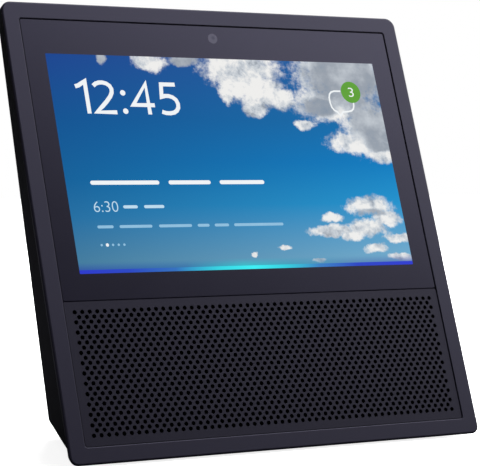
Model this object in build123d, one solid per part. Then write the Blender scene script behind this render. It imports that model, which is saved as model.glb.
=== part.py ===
from build123d import *

import os
from math import cos, radians, sin, tan

# A free-standing smart display: a square face that leans back, and a wedge-shaped case behind it.
# Frame: +X to the viewer's right, the face looks along -Y, +Z up, table at z = 0.
# Pieces that lie along the face are drawn in face coordinates and turned into place by FACE:
#   x across, s up the slope from the face's lower edge, w depth behind the face.
# All sizes are in millimetres.

# ---- driving dimensions: outside ----
FACE_W = 187.0  # width of the face
FACE_H = 187.0  # height of the face, along its slope
DEPTH = 90.0  # front edge of the face to the rear panel
LEAN = radians(20.0)  # the face leans back from upright
SIDE_TAPER = tan(radians(21.4))  # the sides close in by this much per mm of depth
EDGE_LIFT = 1.0  # face's lower edge above the table
BASE_LIFT = 4.4  # underside of the case above the table
WALL = 2.5  # case wall
CORNER_R = 3.6  # rounding of the case's long edges
EDGE_R = 0.7  # rounding of the face's outer rim
FRAME_T = 5.0  # depth of the front frame
BAND = 6.8  # width of the frame's visible band
SEAM = 0.35  # gap round the glass and the grille
RECESS = 0.35  # glass and grille lie this far behind the band
GROOVE_W = 0.4  # parting groove between the frame and the rear cover
GROOVE_D = 0.5

# ---- glass, grille and what they rest on ----
GLASS_H = 116.3
GLASS_T = 1.2
GRILLE_T = 1.2
PANEL_R = 0.8  # corners of the glass and the grille
LEDGE = 2.6  # width of the ledge inside the band
LEDGE_T = 1.5
CROSSBAR = 6.6  # bar behind the seam between glass and grille
GASKET_T = 0.5
HOLE_R = 0.8
HOLE_PITCH = 3.163  # along a row
ROW_PITCH = 2.0
ROWS = 25
ROW_HOLES = 53  # in the long rows; the rows between have one fewer

# ---- display ----
LCD_W = 165.0
LCD_H = 99.6
LCD_T = 3.5
LCD_DROP = 9.05  # top of the glass to the top of the display stack
TOUCH_T = 0.25
TRAY_WALL = 0.8
CAMERA_DROP = 5.4  # top of the glass to the camera's axis
CAMERA_SIZE = 5.6
CAMERA_R = 2.25

# ---- speakers ----
SPEAKER_X = 43.0  # each driver's axis from the middle
SPEAKER_RISE = 37.0  # driver axis above the face's lower edge, along the slope
DRIVER_R = 25.0
DRIVER_FLAT = 22.6  # half height of the driver's flange between its flats
FLANGE_T = 1.5
EAR_R = 23.2  # driver screws from the driver's axis
BASKET_R = 21.0
BASKET_T = 16.0  # depth of the basket behind the baffle's front
SHOULDER_T = 9.0  # depth of the basket's shoulder, in front of the spider
SHEET_T = 1.2  # the basket's floor
FLOOR_R = 8.5  # opening in the basket's floor
CONE_R = 16.6
SKIN_T = 0.4  # surround, spider and dust cap
CAP_R = 9.0  # sphere that the dust cap is part of
CAP_CUT = 6.0  # the cap is cut this far from the sphere's centre
COIL_R = 6.1  # inside of the coil former
COIL_DROP = 6.5  # front of the coil behind the baffle's front
COIL_T = 0.4
GAP = 0.3  # air gap either side of the coil
MAGNET_R = 13.5
MAGNET_T = 6.0
PLATE_T = 2.0
BAFFLE_W = 9.5  # depth of the baffle's front
BAFFLE_T = 2.5
BAFFLE_HALF = 79.0  # half width of the baffle
BOX_CLEAR = 38.0  # speaker box's back to the case's full depth
BOX_WALL = 2.0

# ---- inner frame and boards ----
CHASSIS_W = 7.0  # depth of the chassis plate's front
CHASSIS_T = 2.0
BOARD_T = 1.6
BOARD_W = 110.0
BOARD_H = 62.0
BOARD_GAP = 5.0  # chassis to main board
BOARD_RISE = 26.0  # main board's lower edge above the display's
POST_INSET = 4.0  # a board's screws from its edges
BOARD_GRIP = 3.4  # a board screw's length below the board
CHIP_X = (-28.0, -12.0)
CHIP_RISE = 28.0  # middle of the processor above the board's lower edge
CHIP_T = 1.4
PAD_T = 0.8
SINK_X = (-42.0, 2.0)
SINK_H = 32.0
SINK_T = 2.0
FINS = 9
FIN_PITCH = 5.0
FIN_T = 1.2
FIN_H = 6.0
SHIELD_X = (10.0, 44.0)
SHIELD_RISE = (14.0, 42.0)
SHIELD_H = 2.4
SHIELD_T = 0.3
AERIAL_X = 70.0
AERIAL_W = 12.0
AERIAL_H = 44.0
AERIAL_T = 0.4
SOCKET_H = 5.0
SOCKET_T = 3.0
SCREW_R = 1.0
SCREW_FIT = 0.02  # screw to its cut thread
SCREW_CLEAR = 0.15  # screw to a plain hole
HEAD_R = 1.9
HEAD_T = 1.2
BOSS_R = 2.6
POST_R = 3.2

# ---- keys on the top ----
KEY_L = 14.0
KEY_W = 7.0
KEY_GAP = 0.25
KEY_PITCH = 24.0
KEY_PROUD = 0.5
KEY_TRAVEL = 0.6
KEY_LIP = 1.0
KEY_INSET = 12.0  # middle line of the keys to the rear panel
SWITCH_SIZE = 6.0
SWITCH_T = 3.0
STEM_R = 1.6
STEM_SEAT = 1.8  # foot of the stem above the board
MARK_T = 0.15  # depth of the marks on the keys
TOP_BOARD_DROP = 5.0  # underside of the top wall to the microphone board
TOP_BOARD_T = 1.2
TOP_BOARD_FRONT = 5.0  # the board's edges from the keys' middle line
TOP_BOARD_REAR = 6.0
MIC_HOLE_R = 0.6
MICS = 4  # on each side of the keys
MIC_FROM_IN = 8.0  # innermost microphone from the inner post
MIC_FROM_OUT = 6.5  # outermost microphone from the outer post
POST_SIDE = 1.6  # outer posts from the board's ends
MIC_L = 3.8
MIC_W = 2.8
MIC_T = 1.1
MIC_SEAL_R = 2.5

# ---- sockets at the rear ----
INLET_X = -20.0
INLET_SIZE = 11.0
INLET_R = 3.0  # bore for the plug's barrel
INLET_DEPTH = 10.0
INLET_LENGTH = 14.0
SOCKET_INSET = 0.4  # the sockets' faces from the rear panel
SOCKET_GAP = 0.2  # the sockets to their openings
PIN_R = 1.0
USB_X = 12.0
USB_W = 7.8
USB_H = 2.8
USB_LENGTH = 6.0
USB_T = 0.4
POWER_BOARD_Z = 12.0
POWER_BOARD_W = 74.0
POWER_BOARD_D = 19.0

# ---- foot ----
FOOT_INSET = 4.5
FOOT_SEAT = 0.8  # depth of its seat in the case

# ---- worked out ----
TOP_Z = EDGE_LIFT + FACE_H * cos(LEAN)
FRONT_Y = -DEPTH / 2 - EDGE_R * (tan(LEAN) + 1 / cos(LEAN) - 1)  # the rounded edge then ends at -DEPTH / 2
REAR_Y = DEPTH / 2
KEY_Y = REAR_Y - KEY_INSET
BOX_BACK = DEPTH - BOX_CLEAR
OPEN_W = FACE_W - 2 * BAND
OPEN_LOW = BAND
OPEN_HIGH = FACE_H - BAND
GLASS_W = OPEN_W - 2 * SEAM
GLASS_TOP = OPEN_HIGH - SEAM
GLASS_LOW = GLASS_TOP - GLASS_H
GRILLE_TOP = GLASS_LOW - SEAM
GRILLE_LOW = OPEN_LOW + SEAM
BAR_S = GLASS_LOW - SEAM / 2
LEDGE_W = RECESS + GLASS_T + GASKET_T
LEDGE_BACK = LEDGE_W + LEDGE_T
WINDOW_X = OPEN_W / 2 - LEDGE
WINDOW_TOP = OPEN_HIGH - LEDGE
WINDOW_LOW = OPEN_LOW + LEDGE
CHASSIS_BACK = CHASSIS_W + CHASSIS_T
STACK_W = RECESS + GLASS_T
LCD_W0 = STACK_W + TOUCH_T
LCD_TOP = GLASS_TOP - LCD_DROP
LCD_LOW = LCD_TOP - LCD_H
CAMERA_S = GLASS_TOP - CAMERA_DROP
REARWARD = Vector(0, cos(LEAN), -sin(LEAN))  # straight back from the face
RIM_LOSS = EDGE_R * (SIDE_TAPER + (1 + SIDE_TAPER**2) ** 0.5 - 1)  # what rounding takes off the width
FACE = Location(Plane(origin=(0, FRONT_Y, EDGE_LIFT), x_dir=(1, 0, 0), z_dir=(0, -cos(LEAN), sin(LEAN))))


def place(s, w):
    """(y, z) of a point s up the slope and w behind the face."""
    return FRONT_Y + s * sin(LEAN) + w * cos(LEAN), EDGE_LIFT + s * cos(LEAN) - w * sin(LEAN)


def slope_at(z, w):
    """How far up the slope height z lies, at depth w."""
    return (z - EDGE_LIFT + w * sin(LEAN)) / cos(LEAN)


def depth_at(y, z):
    """How far behind the face a point lies."""
    return (y - FRONT_Y) * cos(LEAN) - (z - EDGE_LIFT) * sin(LEAN)


def half_width(w, inset=0.0):
    """Half the case's width at depth w, less an inset from its tapered side."""
    return FACE_W / 2 + RIM_LOSS - w * SIDE_TAPER - inset * (1 + SIDE_TAPER**2) ** 0.5


def prism_x(points, x0, x1):
    """A solid with the outline points in (y, z), from x0 to x1."""
    outline = Plane.YZ.offset(x0) * make_face(Polyline(*points, close=True))
    return extrude(outline, x1 - x0)


def slab(x0, x1, s0, s1, w0, w1):
    """A block in face coordinates."""
    return Pos((x0 + x1) / 2, (s0 + s1) / 2, -(w0 + w1) / 2) * Box(x1 - x0, s1 - s0, w1 - w0)


def plate(x0, x1, s0, s1, w0, w1, r):
    """A block in face coordinates with rounded corners."""
    outline = Pos((x0 + x1) / 2, (s0 + s1) / 2, -w1) * RectangleRounded(x1 - x0, s1 - s0, r)
    return extrude(outline, w1 - w0)


def disc(x, s, w0, w1, r, bore=0.0):
    """A disc, or a ring, in face coordinates with its axis along the depth."""
    shape = Pos(x, s, -(w0 + w1) / 2) * Cylinder(r, w1 - w0)
    if bore:
        shape -= Pos(x, s, -(w0 + w1) / 2) * Cylinder(bore, w1 - w0 + 2)
    return shape


def spun(points, x, s):
    """A ring with the profile points in (radius, depth), about an axis at (x, s)."""
    profile = Plane.XZ * make_face(Polyline(*[(r, -w) for r, w in points], close=True))
    return Pos(x, s, 0) * revolve(profile, Axis.Z)


def block(x0, x1, y0, y1, z0, z1):
    return Pos((x0 + x1) / 2, (y0 + y1) / 2, (z0 + z1) / 2) * Box(x1 - x0, y1 - y0, z1 - z0)


def post(x, y, z0, z1, r, bore=0.0):
    """An upright round post, or a tube."""
    shape = Pos(x, y, (z0 + z1) / 2) * Cylinder(r, z1 - z0)
    if bore:
        shape -= Pos(x, y, (z0 + z1) / 2) * Cylinder(bore, z1 - z0 + 2)
    return shape


def tapered_sides(inset):
    """The space between the two sides, which close in with depth."""
    near, far = -20.0, 140.0
    a, b = half_width(near, inset), half_width(far, inset)
    outline = Plane.XZ * make_face(Polyline((-a, -near), (a, -near), (b, -far), (-b, -far), close=True))
    return FACE * extrude(outline, 2 * FACE_H, both=True)


SIDES = {}


def wedge(inset, w0):
    """The case's shape, inset all round, from depth w0 back."""
    top, low, rear = TOP_Z - inset, BASE_LIFT + inset, REAR_Y - inset
    points = [
        (place(slope_at(low, w0), w0)[0], low),
        (place(slope_at(top, w0), w0)[0], top),
        (rear, top),
        (rear, low),
    ]
    if inset not in SIDES:
        SIDES[inset] = tapered_sides(inset)
    return prism_x(points, -FACE_W, FACE_W) & SIDES[inset]


def screw(length):
    """A pan-head screw along -Z, its head's underside at the origin."""
    head = Pos(0, 0, HEAD_T / 2) * Cylinder(HEAD_R, HEAD_T)
    slot = Pos(0, 0, HEAD_T) * (Box(1.8 * SCREW_R, 0.5, HEAD_T) + Box(0.5, 1.8 * SCREW_R, HEAD_T))
    return head - slot + Pos(0, 0, -length / 2) * Cylinder(SCREW_R, length)


def face_screw(x, s, w, length, towards_front):
    """A screw along the depth, its head's underside at depth w."""
    turn = 180 if towards_front else 0
    return FACE * (Pos(x, s, -w) * Rot(turn, 0, 0) * screw(length))


# ---- where the pieces are fastened ----
HIGH_SCREWS = WINDOW_TOP - BOSS_R - 0.5
FRAME_SCREWS = [(x, HIGH_SCREWS) for x in (-62.0, 62.0)]
FRAME_SCREWS += [(x, BAR_S) for x in (-78.0, -27.0, 27.0, 78.0)]
COVER_SCREWS = [(x, HIGH_SCREWS) for x in (-36.0, 36.0)]
COVER_SCREWS += [(x, BAR_S) for x in (-54.0, 54.0)]
BOARD_S0 = LCD_LOW + BOARD_RISE
BOARD_S1 = BOARD_S0 + BOARD_H
BOARD_FRONT = CHASSIS_BACK + BOARD_GAP
BOARD_BACK = BOARD_FRONT + BOARD_T
BOARD_POST_X = BOARD_W / 2 - POST_INSET
BOARD_POST_S = (BOARD_S0 + POST_INSET, BOARD_S1 - POST_INSET)
BOARD_POSTS = [(x, s) for x in (-BOARD_POST_X, BOARD_POST_X) for s in BOARD_POST_S]
TOP_INNER = TOP_Z - WALL
TOP_BOARD_Z = TOP_INNER - TOP_BOARD_DROP
TOP_BOARD_LOW = TOP_BOARD_Z - TOP_BOARD_T
BOARD_X = half_width(depth_at(KEY_Y + TOP_BOARD_REAR, TOP_BOARD_LOW), WALL) - 0.4
POST_IN = KEY_PITCH + KEY_L / 2 + KEY_LIP + POST_R + 0.8
POST_OUT = BOARD_X - POST_SIDE
MIC_PITCH = (POST_OUT - MIC_FROM_OUT - POST_IN - MIC_FROM_IN) / (MICS - 1)
MIC_X = [POST_IN + MIC_FROM_IN + k * MIC_PITCH for k in range(MICS)]
TOP_POSTS = [(x, KEY_Y) for x in (-POST_OUT, -POST_IN, POST_IN, POST_OUT)]
POWER_Y1 = REAR_Y - WALL - 1.0
POWER_Y0 = POWER_Y1 - POWER_BOARD_D
POWER_TOP = POWER_BOARD_Z + BOARD_T
SUPPLY_Y = POWER_Y0 + 8.0
POWER_POST_X = POWER_BOARD_W / 2 - POST_INSET
POWER_POSTS = [(x, POWER_Y0 + POST_INSET) for x in (-POWER_POST_X, POWER_POST_X)]
INLET_Z = POWER_TOP + INLET_SIZE / 2
KEYS = {"mute": 0.0, "volume_down": -KEY_PITCH, "volume_up": KEY_PITCH}
KEY_TOP = TOP_Z + KEY_PROUD
LIP_TOP = TOP_INNER - 0.05
LIP_LOW = LIP_TOP - KEY_LIP
SWITCH_TOP = TOP_BOARD_Z + SWITCH_T
STEM_LOW = TOP_BOARD_Z + STEM_SEAT
DRIVERS = {"left": -SPEAKER_X, "right": SPEAKER_X}
EARS = [(EAR_R * cos(radians(a)), EAR_R * sin(radians(a))) for a in (45, 135, 225, 315)]
CABLE_X = (-29.0, -19.0)  # display cable
CABLE_S = LCD_LOW + 9
SUPPLY_X = (24.0, 32.0)  # cable from the power board
SOCKET_S = 3.0  # sockets above the main board's lower edge
LEAD_W = BAFFLE_W + 7.6  # depth of the speaker leads
FLANGE_W = BAFFLE_W - FLANGE_T
SHOULDER_W = BAFFLE_W + SHOULDER_T
BASKET_BACK = BAFFLE_W + BASKET_T
YOKE_W = BASKET_BACK + PLATE_T + MAGNET_T
MOUTH_R = BASKET_R - 1.6  # inside of the basket's mouth
ROLL_R = BASKET_R - 1.2  # outer edge of the surround's roll
SPIDER_R = BASKET_R - 7.8
OPENING_X = SPEAKER_X + DRIVER_R + 2.0  # opening for both drivers in the chassis and the seal
OPENING_LOW = SPEAKER_RISE - DRIVER_FLAT - 0.8
OPENING_HIGH = SPEAKER_RISE + DRIVER_FLAT + 0.3
parts = {}


# ---- front frame: band, ledge and bosses ----
def front_frame():
    low_back = slope_at(EDGE_LIFT, FRAME_T)
    top_back = slope_at(TOP_Z, FRAME_T)
    outline = [place(0, 0), place(FACE_H, 0), place(top_back, FRAME_T), place(low_back, FRAME_T)]
    body = prism_x(outline, -FACE_W, FACE_W) & tapered_sides(0)
    corners = [e for e in body.edges() if abs(e.tangent_at(0.5).X) < 0.6 and e.length < 3 * FRAME_T]
    body = fillet(corners, CORNER_R)
    front = body.faces().sort_by(Axis((0, 0, 0), (0, -cos(LEAN), sin(LEAN))))[-1]
    body = fillet(front.outer_wire().edges(), EDGE_R)
    half = OPEN_W / 2
    body -= FACE * plate(-half, half, OPEN_LOW, OPEN_HIGH, -1, LEDGE_W, PANEL_R + SEAM)
    body -= FACE * plate(-half, half, OPEN_LOW, OPEN_HIGH, LEDGE_BACK, FRAME_T + 2, PANEL_R + SEAM)
    body -= FACE * slab(-WINDOW_X, WINDOW_X, BAR_S + CROSSBAR / 2, WINDOW_TOP, LEDGE_W - 1, FRAME_T)
    body -= FACE * slab(-WINDOW_X, WINDOW_X, WINDOW_LOW, BAR_S - CROSSBAR / 2, LEDGE_W - 1, FRAME_T)
    for x, s in FRAME_SCREWS:
        boss = disc(x, s, LEDGE_BACK - LEDGE_T, CHASSIS_W, BOSS_R)
        if s > BAR_S:
            boss += slab(x - BOSS_R, x + BOSS_R, s, WINDOW_TOP + 0.5, LEDGE_BACK - LEDGE_T, LEDGE_BACK)
        body += FACE * boss
        body -= FACE * disc(x, s, LEDGE_BACK - 0.4, CHASSIS_W + 1, SCREW_R + SCREW_FIT)
    return body


parts["front_frame"] = front_frame()
half_glass = GLASS_W / 2
glass = plate(-half_glass, half_glass, GLASS_LOW, GLASS_TOP, RECESS, STACK_W, PANEL_R)
parts["cover_glass"] = FACE * glass


# ---- perforated grille: long rows alternate with short ones, half a pitch across ----
def speaker_grille():
    middle = (GRILLE_LOW + GRILLE_TOP) / 2
    holes = []
    for row in range(ROWS):
        count = ROW_HOLES - row % 2
        s = middle + (row - (ROWS - 1) / 2) * ROW_PITCH
        for k in range(count):
            x = (k - (count - 1) / 2) * HOLE_PITCH
            holes.append(Wire.make_circle(HOLE_R, Plane((x, s, 0))))
    outline = Pos(0, middle, 0) * RectangleRounded(GLASS_W, GRILLE_TOP - GRILLE_LOW, PANEL_R)
    sheet = Face(outline.face().outer_wire(), holes)
    return FACE * (Pos(0, 0, -RECESS) * extrude(sheet, GRILLE_T, dir=(0, 0, -1)))


parts["speaker_grille"] = speaker_grille()
MESH_W = RECESS + GRILLE_T
half_mesh = OPEN_W / 2 - 0.3
mesh = plate(-half_mesh, half_mesh, OPEN_LOW + 0.3, BAR_S - 0.4, MESH_W, LEDGE_W, PANEL_R)
parts["acoustic_mesh"] = FACE * mesh


# ---- rear cover: shell with screw posts, key openings, sockets and a seat for the foot ----
def rounded_wedge(inset):
    """The case's shape behind the frame, inset all round, with every edge rounded but the front's."""
    body = wedge(inset, FRAME_T)
    rim = FACE.position + REARWARD * FRAME_T
    away = [e for e in body.edges() if abs((e.center() - rim).dot(REARWARD)) > 0.5]
    return fillet(away, CORNER_R - inset)


def rear_cover():
    body = rounded_wedge(0)
    groove = FACE * slab(-FACE_W, FACE_W, -FACE_H, 2 * FACE_H, FRAME_T - 1, FRAME_T + GROOVE_W)
    body -= groove - rounded_wedge(GROOVE_D)
    body -= wedge(WALL, FRAME_T - 3)
    solid_posts = None
    for x, s in COVER_SCREWS:
        pillar = FACE * disc(x, s, CHASSIS_BACK, DEPTH + 20, POST_R)
        solid_posts = pillar if solid_posts is None else solid_posts + pillar
    body += solid_posts & wedge(WALL / 2, FRAME_T)
    for x, s in COVER_SCREWS:
        body -= FACE * disc(x, s, CHASSIS_BACK - 1, CHASSIS_BACK + 7, SCREW_R + SCREW_FIT)
    for x, y in TOP_POSTS:
        body += post(x, y, TOP_BOARD_Z, TOP_INNER + 0.5, POST_R - 0.7)
        body -= post(x, y, TOP_BOARD_Z - 1, TOP_INNER - 0.6, SCREW_R + SCREW_FIT)
    for x, y in POWER_POSTS:
        body += post(x, y, BASE_LIFT + WALL - 0.5, POWER_BOARD_Z, POST_R - 0.7)
        body -= post(x, y, BASE_LIFT + WALL, POWER_BOARD_Z + 1, SCREW_R + SCREW_FIT)
    for x in KEYS.values():
        body -= key_outline(x, TOP_INNER - 1, TOP_Z + 1, KEY_GAP)
    for x in MIC_X:
        for side in (-1, 1):
            body -= post(side * x, KEY_Y, TOP_INNER - 1, TOP_Z + 1, MIC_HOLE_R)
    y0, y1 = REAR_Y - WALL - 1, REAR_Y + 1
    size = INLET_SIZE / 2 + SOCKET_GAP
    body -= block(INLET_X - size, INLET_X + size, y0, y1, INLET_Z - size, INLET_Z + size)
    half_port = USB_W / 2 + SOCKET_GAP
    port_top = POWER_TOP + USB_H + SOCKET_GAP
    body -= block(USB_X - half_port, USB_X + half_port, y0, y1, POWER_TOP - SOCKET_GAP, port_top)
    return body - foot(BASE_LIFT - 1, BASE_LIFT + FOOT_SEAT)


def key_outline(x, z0, z1, grow=0.0):
    """A pill-shaped key, or its opening."""
    outline = Pos(x, KEY_Y, z0) * SlotOverall(KEY_L + 2 * grow, KEY_W + 2 * grow)
    return extrude(outline, z1 - z0)


def foot(z0, z1):
    """The foot's outline follows the case's underside, inset all round."""
    y0 = place(slope_at(BASE_LIFT, FRAME_T), FRAME_T)[0] + FOOT_INSET
    y1 = REAR_Y - CORNER_R - FOOT_INSET
    points = []
    for y in (y0, y1):
        points.append((half_width(depth_at(y, BASE_LIFT)) - CORNER_R - FOOT_INSET, y))
    (a, y0), (b, y1) = points
    outline = make_face(Polyline((-a, y0), (a, y0), (b, y1), (-b, y1), close=True))
    outline = fillet(outline.vertices(), 6.0)
    return extrude(Pos(0, 0, z0) * outline, z1 - z0)


parts["rear_cover"] = rear_cover()
pad = foot(0, BASE_LIFT + FOOT_SEAT)
parts["base_foot"] = fillet(pad.faces().sort_by(Axis.Z)[0].outer_wire().edges(), 1.0)


# ---- keys, their stems and switches ----
def icon(name, x):
    """A shallow mark on a key's top: minus, plus, or a barred circle for mute."""
    cut_z = KEY_TOP - MARK_T
    if name == "mute":
        ring = post(x, KEY_Y, cut_z, KEY_TOP + 1, 1.7, 1.35)
        bar = Pos(x, KEY_Y, (cut_z + KEY_TOP + 1) / 2) * Rot(0, 0, 45) * Box(3.4, 0.35, KEY_TOP + 1 - cut_z)
        return ring + bar
    mark = block(x - 1.7, x + 1.7, KEY_Y - 0.2, KEY_Y + 0.2, cut_z, KEY_TOP + 1)
    if name == "volume_up":
        mark += block(x - 0.2, x + 0.2, KEY_Y - 1.7, KEY_Y + 1.7, cut_z, KEY_TOP + 1)
    return mark


switches = []
for name, x in KEYS.items():
    cap = key_outline(x, LIP_TOP - 0.2, KEY_TOP)
    cap = fillet(cap.faces().sort_by(Axis.Z)[-1].outer_wire().edges(), 0.4)
    cap += key_outline(x, LIP_LOW, LIP_TOP, KEY_LIP)
    parts[name + "_key"] = cap - icon(name, x)
    parts[name + "_plunger"] = post(x, KEY_Y, STEM_LOW, LIP_LOW, STEM_R)
    half = SWITCH_SIZE / 2
    housing = block(x - half, x + half, KEY_Y - half, KEY_Y + half, TOP_BOARD_Z, SWITCH_TOP)
    switches.append(housing - post(x, KEY_Y, STEM_LOW - KEY_TRAVEL - 0.2, SWITCH_TOP + 1, STEM_R + 0.1))
parts["key_switches"] = switches

# ---- microphone board, under the top wall ----
board_y0, board_y1 = KEY_Y - TOP_BOARD_FRONT, KEY_Y + TOP_BOARD_REAR
top_board = block(-BOARD_X, BOARD_X, board_y0, board_y1, TOP_BOARD_LOW, TOP_BOARD_Z)
for x, y in TOP_POSTS:
    top_board -= post(x, y, TOP_BOARD_Z - 5, TOP_BOARD_Z + 1, SCREW_R + SCREW_CLEAR)
mics, mic_gaskets = [], []
for x in [side * k for k in MIC_X for side in (-1, 1)]:
    top_board -= post(x, KEY_Y, TOP_BOARD_Z - 5, TOP_BOARD_Z + 1, MIC_HOLE_R)
    mic_x, mic_y = (x - MIC_L / 2, x + MIC_L / 2), (KEY_Y - MIC_W / 2, KEY_Y + MIC_W / 2)
    mics.append(block(*mic_x, *mic_y, TOP_BOARD_LOW - MIC_T, TOP_BOARD_LOW))
    mic_gaskets.append(post(x, KEY_Y, TOP_BOARD_Z, TOP_INNER, MIC_SEAL_R, MIC_HOLE_R + 0.4))
parts["microphone_board"] = top_board
parts["microphones"] = mics
parts["microphone_gaskets"] = mic_gaskets

# ---- display stack, behind the glass ----
LCD_X = LCD_W / 2
LCD_BACK = LCD_W0 + LCD_T
parts["touch_film"] = FACE * slab(-LCD_X, LCD_X, LCD_LOW, LCD_TOP, STACK_W, LCD_W0)
parts["lcd_panel"] = FACE * slab(-LCD_X, LCD_X, LCD_LOW, LCD_TOP, LCD_W0, LCD_BACK)
tray_x = LCD_X + TRAY_WALL
tray = slab(-tray_x, tray_x, LCD_LOW - TRAY_WALL, LCD_TOP + TRAY_WALL, LCD_W0, LCD_BACK + TRAY_WALL)
parts["backlight_tray"] = FACE * (tray - slab(-LCD_X, LCD_X, LCD_LOW, LCD_TOP, LCD_W0 - 1, LCD_BACK))
gasket = slab(-half_glass, half_glass, GLASS_LOW, GLASS_TOP, STACK_W, LEDGE_W)
gasket -= slab(-WINDOW_X, WINDOW_X, BAR_S + CROSSBAR / 2, WINDOW_TOP, STACK_W - 1, LEDGE_W + 1)
parts["glass_gasket"] = FACE * gasket

# ---- camera and light sensor ----
half_camera = CAMERA_SIZE / 2
CAMERA_FRONT = STACK_W + 1.5
camera_s = (CAMERA_S - half_camera, CAMERA_S + half_camera)
camera = slab(-half_camera, half_camera, *camera_s, CAMERA_FRONT, CHASSIS_BACK)
camera += slab(-5, 5, CAMERA_S - 4, CAMERA_S + 3.4, CHASSIS_BACK, CHASSIS_BACK + 1)
parts["camera_module"] = FACE * camera
parts["camera_barrel"] = FACE * disc(0, CAMERA_S, STACK_W + 0.3, CAMERA_FRONT, CAMERA_R, 1.6)
parts["camera_lens"] = FACE * disc(0, CAMERA_S, STACK_W + 0.6, CAMERA_FRONT, 1.6)
parts["light_sensor"] = FACE * slab(13, 16, CAMERA_S - 1.5, CAMERA_S + 1.5, CHASSIS_W - 1.2, CHASSIS_W)


# ---- chassis: plate and rim behind the frame's ledge ----
def chassis():
    low = slope_at(BASE_LIFT + WALL, CHASSIS_BACK) + 0.5
    side = half_width(CHASSIS_BACK, WALL) - 0.6
    rim_x = min(side, OPEN_W / 2 - 0.45)
    high = OPEN_HIGH - 0.45
    body = slab(-side, side, low, high, CHASSIS_W, CHASSIS_BACK)
    rim = slab(-rim_x, rim_x, low, high, LEDGE_BACK, CHASSIS_W)
    inner_x = WINDOW_X - 0.4
    rim -= slab(-inner_x, inner_x, WINDOW_LOW + 2, WINDOW_TOP + 0.2, LEDGE_BACK - 1, CHASSIS_W + 1)
    body += rim
    body -= slab(-OPENING_X, OPENING_X, OPENING_LOW, OPENING_HIGH, LEDGE_BACK - 1, CHASSIS_BACK + 9)
    body -= slab(*CABLE_X, CABLE_S - 2, CABLE_S + 2, CHASSIS_W - 1, CHASSIS_BACK + 1)
    hole = half_camera + 0.2
    body -= slab(-hole, hole, CAMERA_S - hole, CAMERA_S + hole, LEDGE_BACK, CHASSIS_BACK + 1)
    for x, s in FRAME_SCREWS + COVER_SCREWS:
        body -= disc(x, s, CHASSIS_W - 1, CHASSIS_BACK + 1, SCREW_R + SCREW_CLEAR)
    for x, s in BOARD_POSTS:
        body += disc(x, s, CHASSIS_BACK, BOARD_FRONT, BOSS_R)
        body -= disc(x, s, CHASSIS_BACK, BOARD_FRONT + 1, SCREW_R + SCREW_FIT)
    return FACE * body


parts["chassis"] = chassis()
parts["frame_screws"] = [face_screw(x, s, CHASSIS_BACK, CHASSIS_T + 3.0, True) for x, s in FRAME_SCREWS]
parts["cover_screws"] = [face_screw(x, s, CHASSIS_W, CHASSIS_T + 6.0, False) for x, s in COVER_SCREWS]

# ---- main board and what it carries ----
board = slab(-BOARD_W / 2, BOARD_W / 2, BOARD_S0, BOARD_S1, BOARD_FRONT, BOARD_BACK)
for x, s in BOARD_POSTS:
    board -= disc(x, s, BOARD_FRONT - 1, BOARD_BACK + 1, SCREW_R + SCREW_CLEAR)
parts["main_board"] = FACE * board
CHIP_S = BOARD_S0 + CHIP_RISE
CHIP_BACK = BOARD_BACK + CHIP_T
PAD_BACK = CHIP_BACK + PAD_T
SINK_BACK = PAD_BACK + SINK_T
half_chip = (CHIP_X[1] - CHIP_X[0]) / 2
parts["processor"] = FACE * slab(*CHIP_X, CHIP_S - half_chip, CHIP_S + half_chip, BOARD_BACK, CHIP_BACK)
parts["thermal_pad"] = FACE * slab(*CHIP_X, CHIP_S - half_chip, CHIP_S + half_chip, CHIP_BACK, PAD_BACK)
sink_s = (CHIP_S - SINK_H / 2, CHIP_S + SINK_H / 2)
sink = slab(*SINK_X, *sink_s, PAD_BACK, SINK_BACK)
for k in range(FINS):
    x = SINK_X[0] + 1.0 + k * FIN_PITCH
    sink += slab(x - FIN_T / 2, x + FIN_T / 2, *sink_s, SINK_BACK, SINK_BACK + FIN_H)
parts["heat_sink"] = FACE * sink
shield_x0, shield_x1 = SHIELD_X
shield_s0, shield_s1 = BOARD_S0 + SHIELD_RISE[0], BOARD_S0 + SHIELD_RISE[1]
shield = slab(shield_x0, shield_x1, shield_s0, shield_s1, BOARD_BACK, BOARD_BACK + SHIELD_H)
shield -= slab(
    shield_x0 + SHIELD_T, shield_x1 - SHIELD_T,
    shield_s0 + SHIELD_T, shield_s1 - SHIELD_T,
    BOARD_BACK - 1, BOARD_BACK + SHIELD_H - SHIELD_T,
)
parts["radio_shield"] = FACE * shield
socket_x = [(CABLE_X[0] - 1, CABLE_X[1] + 1), (SUPPLY_X[0] - 1, SUPPLY_X[1] + 1)]
socket_x += [(x - 3, x + 3) for x in DRIVERS.values()]
low, high = BOARD_S0 + SOCKET_S, BOARD_S0 + SOCKET_S + SOCKET_H
plugs = [FACE * slab(x0, x1, low, high, BOARD_BACK, BOARD_BACK + SOCKET_T) for x0, x1 in socket_x]
plug_x0, plug_x1 = socket_x[1]
plugs.append(block(plug_x0, plug_x1, SUPPLY_Y - 2, SUPPLY_Y + 2, POWER_TOP, POWER_TOP + SOCKET_T))
plugs.append(FACE * slab(-8, 8, BOARD_S1 - 6, BOARD_S1 - 2, BOARD_BACK, BOARD_BACK + 2))
parts["board_sockets"] = plugs
aerials = []
for x in (-AERIAL_X, AERIAL_X):
    x0, x1 = x - AERIAL_W / 2, x + AERIAL_W / 2
    aerials.append(FACE * slab(x0, x1, BOARD_S0, BOARD_S0 + AERIAL_H, CHASSIS_BACK, CHASSIS_BACK + AERIAL_T))
parts["aerials"] = aerials

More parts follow.
